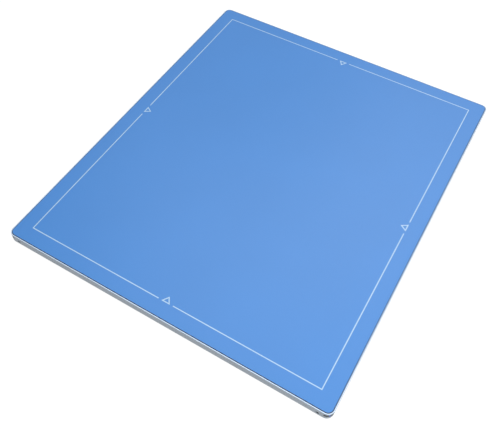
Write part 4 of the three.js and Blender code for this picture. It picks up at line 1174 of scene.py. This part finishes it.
def grip_pad(rear, middle_y):
    """Shapes of a ribbed pad that fills one grip recess."""
    half_x = GRIP_WIDTH / 2 - rear.gap
    half_y = GRIP_LENGTH / 2 - rear.gap
    pad_face = rear.sunk + rear.rib_height
    shapes = [facing_down(half_x, half_y, half_y, GRIP_DEPTH + BEDDING, pad_face)]
    half_rib = rear.rib_width / 2
    rib = facing_down(half_rib, half_y - rear.rib_width, half_rib, pad_face + BEDDING, rear.sunk)
    count = int((half_x - rear.rib_width) / rear.rib_pitch)
    shapes += [moved(rib, number * rear.rib_pitch, 0) for number in range(-count, count + 1)]
    return [moved(shape, 0, middle_y) for shape in shapes]


# Steps, one for each piece or group of like pieces


class DETECTOR_OT_front_film(bpy.types.Operator):
    """Lays the blue film with its printed border on the plate"""

    bl_idname = "detector.front_film"
    bl_label = "Front film"

    def execute(self, context):
        scene = context.scene
        mesh = printed_film(scene.detector_print)
        add_piece("printed_film", mesh, "front_film", blue_film(scene), border_ink(scene))
        return {"FINISHED"}


class DETECTOR_OT_front_plate(bpy.types.Operator):
    """Finishes the carbon plate and the seal under its edge"""

    bl_idname = "detector.front_plate"
    bl_label = "Front plate and seal"

    def execute(self, context):
        edges = context.scene.detector_edges
        dress(["front_plate"], carbon_plate(context.scene), edges.sheet)
        dress(["front_seal", "rear_gasket"], seal_rubber(), edges.sheet)
        return {"FINISHED"}


class DETECTOR_OT_frame(bpy.types.Operator):
    """Finishes the metal frame, with its bezel partly bright metal and partly a painted highlight, and its
    grey side
    """

    bl_idname = "detector.frame"
    bl_label = "Frame"

    def execute(self, context):
        scene = context.scene
        low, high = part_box("frame")
        dress(["frame"], frame_metal(scene, low.z, high.z), scene.detector_edges.cut)
        return {"FINISHED"}


class DETECTOR_OT_corners(bpy.types.Operator):
    """Finishes the four corner guards and sets the status lens"""

    bl_idname = "detector.corners"
    bl_label = "Corner guards and status lens"

    def execute(self, context):
        scene = context.scene
        colours = scene.detector_colours
        guard = moulded_polymer("Guard polymer", colours.guard, scene.detector_textures, shine=0.2)
        dress(numbered("corner_guard", 4), guard, scene.detector_edges.cut)
        lens = tinted_lens("Status lens", colours.lens, lamp=0.6)
        add_piece("domed_lens", lens_mesh(), "status_lens", lens)
        return {"FINISHED"}


class DETECTOR_OT_rear_cover(bpy.types.Operator):
    """Paints the rear cover"""

    bl_idname = "detector.rear_cover"
    bl_label = "Rear cover"

    def execute(self, context):
        dress(["rear_cover"], cover_paint(context.scene), context.scene.detector_edges.cast)
        return {"FINISHED"}


class DETECTOR_OT_rear_label(bpy.types.Operator):
    """Lays the blank label in its recess in the rear cover"""

    bl_idname = "detector.rear_label"
    bl_label = "Rear label"

    def execute(self, context):
        rear = context.scene.detector_rear
        half_x = LABEL_WIDTH / 2 - rear.gap
        half_y = LABEL_LENGTH / 2 - rear.gap
        plate = facing_down(half_x, half_y, LABEL_RADIUS - rear.gap, LABEL_DEPTH + BEDDING, rear.sunk)
        label = blank_label(context.scene)
        add_insert("rear_label", [moved(plate, 0, LABEL_Y)], "housing", "cover_paint", label)
        return {"FINISHED"}


class DETECTOR_OT_grip_pads(bpy.types.Operator):
    """Lays the ribbed rubber pads in the two grips"""

    bl_idname = "detector.grip_pads"
    bl_label = "Grip pads"

    def execute(self, context):
        rubber = grip_rubber(context.scene)
        for number, middle_y in enumerate((-GRIP_Y, GRIP_Y), 1):
            shapes = grip_pad(context.scene.detector_rear, middle_y)
            add_insert(f"grip_pad_{number}", shapes, "housing", "seal_rubber", rubber)
        return {"FINISHED"}


class DETECTOR_OT_screws(bpy.types.Operator):
    """Puts in the cover screws and the screws in the short sides"""

    bl_idname = "detector.screws"
    bl_label = "Screws"

    def execute(self, context):
        bright = turned_metal("Screw steel", (0.30, 0.31, 0.33), 0.3)
        dark = turned_metal("Blackened steel", (0.014, 0.015, 0.017), 0.38)
        for number, node in enumerate(numbered("rear_screw", 8), 1):
            add_screw(f"cover_screw_{number}", node, Z, HALF_TURN, COVER_SCREW, bright)
        for number, node in enumerate(numbered("side_screw", 4), 1):
            low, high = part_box(node)
            turn = QUARTER if low.y + high.y < 0 else -QUARTER
            add_screw(f"edge_screw_{number}", node, Y, turn, EDGE_SCREW, dark)
        return {"FINISHED"}


class DETECTOR_OT_power_button(bpy.types.Operator):
    """Finishes the power button with its seal and switch"""

    bl_idname = "detector.power_button"
    bl_label = "Power button"

    def execute(self, context):
        scene = context.scene
        colour_of_cap = scene.detector_colours.button
        cap = moulded_polymer("Button polymer", colour_of_cap, scene.detector_textures, roughness=0.45)
        add_piece("button_cap", button_mesh(), "power_button", cap)
        sheet_edge = scene.detector_edges.sheet
        dress(["button_seal"], bpy.data.materials["Seal rubber"], sheet_edge)
        dress(["button_switch"], bpy.data.materials["Guard polymer"], sheet_edge)
        return {"FINISHED"}


class DETECTOR_OT_status_window(bpy.types.Operator):
    """Finishes the window over the status lamps"""

    bl_idname = "detector.status_window"
    bl_label = "Status window"

    def execute(self, context):
        dress(["light_guide"], clear_window(), context.scene.detector_edges.sheet)
        return {"FINISHED"}


class DETECTOR_OT_tether_port(bpy.types.Operator):
    """Finishes the magnetic charging port"""

    bl_idname = "detector.tether_port"
    bl_label = "Tether port"

    def execute(self, context):
        edges = context.scene.detector_edges
        dress(["tether_socket"], bpy.data.materials["Guard polymer"], edges.moulded)
        dress(["tether_ring"], turned_metal("Ring steel", (0.36, 0.37, 0.39), 0.25), edges.sheet)
        dress(["tether_contacts"], contact_gold(), edges.sheet)
        return {"FINISHED"}


class DETECTOR_OT_radio(bpy.types.Operator):
    """Finishes the radio windows and the antennas behind them"""

    bl_idname = "detector.radio"
    bl_label = "Radio windows and antennas"

    def execute(self, context):
        scene = context.scene
        windows = ["antenna_window_left", "antenna_window_right"]
        dress(windows, bpy.data.materials["Guard polymer"], scene.detector_edges.moulded)
        dress(["antenna_left", "antenna_right"], circuit_board(scene), scene.detector_edges.sheet)
        return {"FINISHED"}


class DETECTOR_OT_battery(bpy.types.Operator):
    """Finishes the battery pack and the contact block that it meets"""

    bl_idname = "detector.battery"
    bl_label = "Battery"

    def execute(self, context):
        scene = context.scene
        edges = scene.detector_edges
        case = moulded_polymer("Battery polymer", scene.detector_colours.battery, scene.detector_textures)
        dress(["battery_case", "battery_lid"], case, edges.moulded)
        dress(["cell_left", "cell_right"], cell_foil(), edges.cast)
        dress(["battery_board"], bpy.data.materials["Circuit board"], edges.sheet)
        dress(["battery_socket"], bpy.data.materials["Guard polymer"], edges.sheet)
        return {"FINISHED"}


class DETECTOR_OT_battery_label(bpy.types.Operator):
    """Lays a blank label and a row of charge lamps on the battery"""

    bl_idname = "detector.battery_label"
    bl_label = "Battery label and charge lamps"

    def execute(self, context):
        scene = context.scene
        rear = scene.detector_rear
        low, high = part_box("battery_lid")
        face = low.z + BEDDING
        middle_y = (low.y + high.y) / 2
        half_x = rear.lid_label_width / 2
        half_y = rear.lid_label_length / 2
        plate = moved(facing_down(half_x, half_y, LABEL_RADIUS, face, rear.sunk), 0, middle_y)
        label = bpy.data.materials["Blank label"]
        add_insert("battery_label", [plate], "battery_pack", "cover_paint", label)
        radius = rear.lamp_radius
        lamp = facing_down(radius, radius, radius, face, rear.sunk)
        steps = [number - (CHARGE_LAMPS - 1) / 2 for number in range(CHARGE_LAMPS)]
        shapes = [moved(lamp, step * rear.lamp_pitch, low.y + rear.lamp_inset) for step in steps]
        lens = tinted_lens("Charge lamp", scene.detector_colours.lens, lamp=0.0)
        add_insert("charge_lamps", shapes, "battery_pack", "blue_lens", lens)
        return {"FINISHED"}


class DETECTOR_OT_latches(bpy.types.Operator):
    """Finishes the two battery latches and puts in their springs"""

    bl_idname = "detector.latches"
    bl_label = "Battery latches"

    def execute(self, context):
        scene = context.scene
        edges = scene.detector_edges
        steel = turned_metal("Spring steel", (0.33, 0.34, 0.36), 0.28)
        latch = moulded_polymer("Latch polymer", scene.detector_colours.button, scene.detector_textures)
        for side in ("left", "right"):
            dress([f"latch_{side}"], latch, edges.moulded)
            dress([f"latch_keeper_{side}"], steel, edges.cut)
            folded_spring(side, steel)
        return {"FINISHED"}


class DETECTOR_OT_sensor_stack(bpy.types.Operator):
    """Finishes the foam, scintillator, glass, lead sheet and carrier"""

    bl_idname = "detector.sensor_stack"
    bl_label = "Sensor stack"

    def execute(self, context):
        edges = context.scene.detector_edges
        dress(["foam_sheet"], grey_foam(), edges.sheet)
        dress(["scintillator_plate"], scintillator_coat(), edges.sheet)
        dress(["sensor_glass"], sensor_glass(), edges.sheet)
        dress(["shield_sheet"], lead_sheet(), edges.sheet)
        dress(["base_plate"], cast_metal(), edges.cast)
        return {"FINISHED"}


class DETECTOR_OT_electronics(bpy.types.Operator):
    """Finishes the circuit boards, their cans and their film cables"""

    bl_idname = "detector.electronics"
    bl_label = "Electronics"

    def execute(self, context):
        edges = context.scene.detector_edges
        boards = ["readout_board", "gate_board", "main_board", "power_board", "side_board"]
        dress(boards, bpy.data.materials["Circuit board"], edges.sheet)
        dress(["readout_flex", "gate_flex"], film_cable(), edges.sheet)
        tinned = turned_metal("Tinned steel", (0.42, 0.43, 0.45), 0.35)
        dress(["shield_can", "wifi_module"], tinned, edges.moulded)
        return {"FINISHED"}


# Stage

FLOOR_REACH = 6.0
FLOOR_HEIGHT = -0.5 * MM
NEAREST_SEEN = 0.01


def white_seen(tree):
    """1 for rays that show a surface directly, mirrored or through glass, and 0 for the light it gives."""
    path = tree.nodes.new("ShaderNodeLightPath").outputs
    seen, mirrored, bent = [Field(path[f"Is {kind} Ray"]) for kind in ("Camera", "Glossy", "Transmission")]
    return seen.at_least(mirrored).at_least(bent)


def mix_shaders(mask, first, second):
    """The first shader where a mask is 0, and the second where it is 1."""
    return field_of(mask.tree, "ShaderNodeMixShader", mask, first, second)


def glow_shader(tree, strength):
    """Plain white light of the given strength, where 1 is white."""
    return field_of(tree, "ShaderNodeEmission", (*WHITE, 1), strength)


def lit_floor(tree, glow, paint):
    """Floor that glows a little and is lit by the lamps too, so that it keeps the part's shadow."""
    matt = field_of(tree, "ShaderNodeBsdfDiffuse", (paint, paint, paint, 1))
    return field_of(tree, "ShaderNodeAddShader", glow_shader(tree, glow), matt)


def floor_material(stage):
    """White floor with a faint shadow of the part, plain white further out, and clear from below.

    Its light isn't sampled as a lamp, because the seam of its two triangles would then show on the rear face.
    """
    material = bpy.data.materials.new("White floor")
    material.use_nodes = True
    material.cycles.emission_sampling = "NONE"
    tree = material.node_tree
    tree.nodes.remove(tree.nodes["Principled BSDF"])
    distance = add_node(tree, "ShaderNodeVectorMath", place_on_part(tree), operation="LENGTH")
    reach = stage.shadow_reach
    far = Field(distance.outputs["Value"]).remap(reach, 2 * reach, smooth=True)
    lit = lit_floor(tree, stage.floor_glow, stage.floor_full - stage.floor_glow)
    seen = mix_shaders(far, lit, glow_shader(tree, 1.0))
    top = mix_shaders(white_seen(tree), lit_floor(tree, stage.floor_bounce, stage.floor_bounce), seen)
    backface = Field(tree.nodes.new("ShaderNodeNewGeometry").outputs["Backfacing"])
    clear = field_of(tree, "ShaderNodeBsdfTransparent")
    feed(tree.nodes["Material Output"].inputs["Surface"], mix_shaders(backface, top, clear))
    return material


def make_floor(stage):
    """Wide floor just under the part."""
    signs = ((-1, -1), (1, -1), (1, 1), (-1, 1))
    corners = [(x_sign * FLOOR_REACH, y_sign * FLOOR_REACH, FLOOR_HEIGHT) for x_sign, y_sign in signs]
    floor = add_object("studio_floor", make_mesh("studio_floor", corners, [(0, 1, 2, 3)]))
    floor.data.materials.append(floor_material(stage))
    floor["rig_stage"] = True


def make_world(stage):
    """White surround: plain white where it is seen, and softer as a light."""
    world = bpy.data.worlds.new("White surround")
    world.use_nodes = True
    tree = world.node_tree
    background = tree.nodes["Background"]
    background.inputs["Color"].default_value = (*WHITE, 1)
    feed(background.inputs["Strength"], white_seen(tree).choose(stage.sky, 1.0))
    bpy.context.scene.world = world


def make_lamp(name, watts, place, width, height):
    """Soft box that looks at the middle of the part."""
    data = bpy.data.lights.new(name, "AREA")
    data.shape = "RECTANGLE"
    data.size = width
    data.size_y = height
    data.energy = watts
    lamp = add_object(name, data)
    lamp.location = place
    lamp.rotation_euler = (-Vector(place)).to_track_quat("-Z", "Y").to_euler()


def make_camera(stage):
    """Camera at the photograph's viewing angle."""
    data = bpy.data.cameras.new("Camera")
    data.lens = stage.focal_length
    data.shift_x = stage.shift
    data.clip_start = NEAREST_SEEN
    camera = add_object("Camera", data)
    look = Euler((QUARTER - stage.elevation, 0, stage.azimuth)).to_matrix()
    camera.location = stage.camera_place
    camera.rotation_euler = (look @ Matrix.Rotation(stage.roll, 3, "Z")).to_euler()
    bpy.context.scene.camera = camera


class DETECTOR_OT_stage(bpy.types.Operator):
    """Sets up the floor, the surround, the lamps and the camera"""

    bl_idname = "detector.stage"
    bl_label = "Stage"

    def execute(self, context):
        stage = context.scene.detector_stage
        make_floor(stage)
        make_world(stage)
        make_lamp("Key lamp", stage.key_power, place=(0.70, -0.60, 0.95), width=1.0, height=1.0)
        make_lamp("Top lamp", stage.top_power, place=(-0.20, 0.50, 1.25), width=1.1, height=0.8)
        make_lamp("Back lamp", stage.back_power, place=(0.15, 1.10, 1.20), width=0.8, height=0.8)
        make_camera(stage)
        context.scene.view_settings.view_transform = "Standard"
        return {"FINISHED"}


# Sidebar and registration

SETTINGS = (
    ("detector_print", DetectorPrint),
    ("detector_colours", DetectorColours),
    ("detector_textures", DetectorTextures),
    ("detector_edges", DetectorEdges),
    ("detector_rear", DetectorRear),
    ("detector_stage", DetectorStage),
)

STEPS = (
    DETECTOR_OT_front_film,
    DETECTOR_OT_front_plate,
    DETECTOR_OT_frame,
    DETECTOR_OT_corners,
    DETECTOR_OT_rear_cover,
    DETECTOR_OT_rear_label,
    DETECTOR_OT_grip_pads,
    DETECTOR_OT_screws,
    DETECTOR_OT_power_button,
    DETECTOR_OT_status_window,
    DETECTOR_OT_tether_port,
    DETECTOR_OT_radio,
    DETECTOR_OT_battery,
    DETECTOR_OT_battery_label,
    DETECTOR_OT_latches,
    DETECTOR_OT_sensor_stack,
    DETECTOR_OT_electronics,
    DETECTOR_OT_stage,
)


class DETECTOR_PT_finishes(bpy.types.Panel):
    """Settings and steps of the detector"""

    bl_idname = "DETECTOR_PT_finishes"
    bl_label = "X-Ray Detector"
    bl_space_type = "VIEW_3D"
    bl_region_type = "UI"
    bl_category = "Detector"

    def draw(self, context):
        for name, group in SETTINGS:
            box = self.layout.box()
            box.label(text=name.split("_")[-1].title())
            settings = getattr(context.scene, name)
            for prop in group.__annotations__:
                box.prop(settings, prop)
        for step in STEPS:
            self.layout.operator(step.bl_idname)


def register():
    """Registers the settings, the steps and the sidebar panel."""
    for name, group in SETTINGS:
        bpy.utils.register_class(group)
        setattr(bpy.types.Scene, name, PointerProperty(type=group))
    for step in STEPS:
        bpy.utils.register_class(step)
    bpy.utils.register_class(DETECTOR_PT_finishes)


def unregister():
    """Takes everything that register() added away again."""
    bpy.utils.unregister_class(DETECTOR_PT_finishes)
    for step in reversed(STEPS):
        bpy.utils.unregister_class(step)
    for name, group in reversed(SETTINGS):
        delattr(bpy.types.Scene, name)
        bpy.utils.unregister_class(group)


def write_sizes():
    """Works out the box of the CAD model and the box of what is shown; it writes neither."""
    low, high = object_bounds()
    boxes = {"cad": [list(cad_low), list(cad_high)], "visual": [list(low), list(high)]}


def main():
    """Makes the shared effects, then runs every step in order."""
    register()
    for effect, outputs in EFFECTS:
        make_group(effect, outputs)
    bpy.ops.detector.front_film()
    bpy.ops.detector.front_plate()
    bpy.ops.detector.frame()
    bpy.ops.detector.corners()
    bpy.ops.detector.rear_cover()
    bpy.ops.detector.rear_label()
    bpy.ops.detector.grip_pads()
    bpy.ops.detector.screws()
    bpy.ops.detector.power_button()
    bpy.ops.detector.status_window()
    bpy.ops.detector.tether_port()
    bpy.ops.detector.radio()
    bpy.ops.detector.battery()
    bpy.ops.detector.battery_label()
    bpy.ops.detector.latches()
    bpy.ops.detector.sensor_stack()
    bpy.ops.detector.electronics()
    bpy.ops.detector.stage()
    write_sizes()


if __name__ == "__main__":
    main()
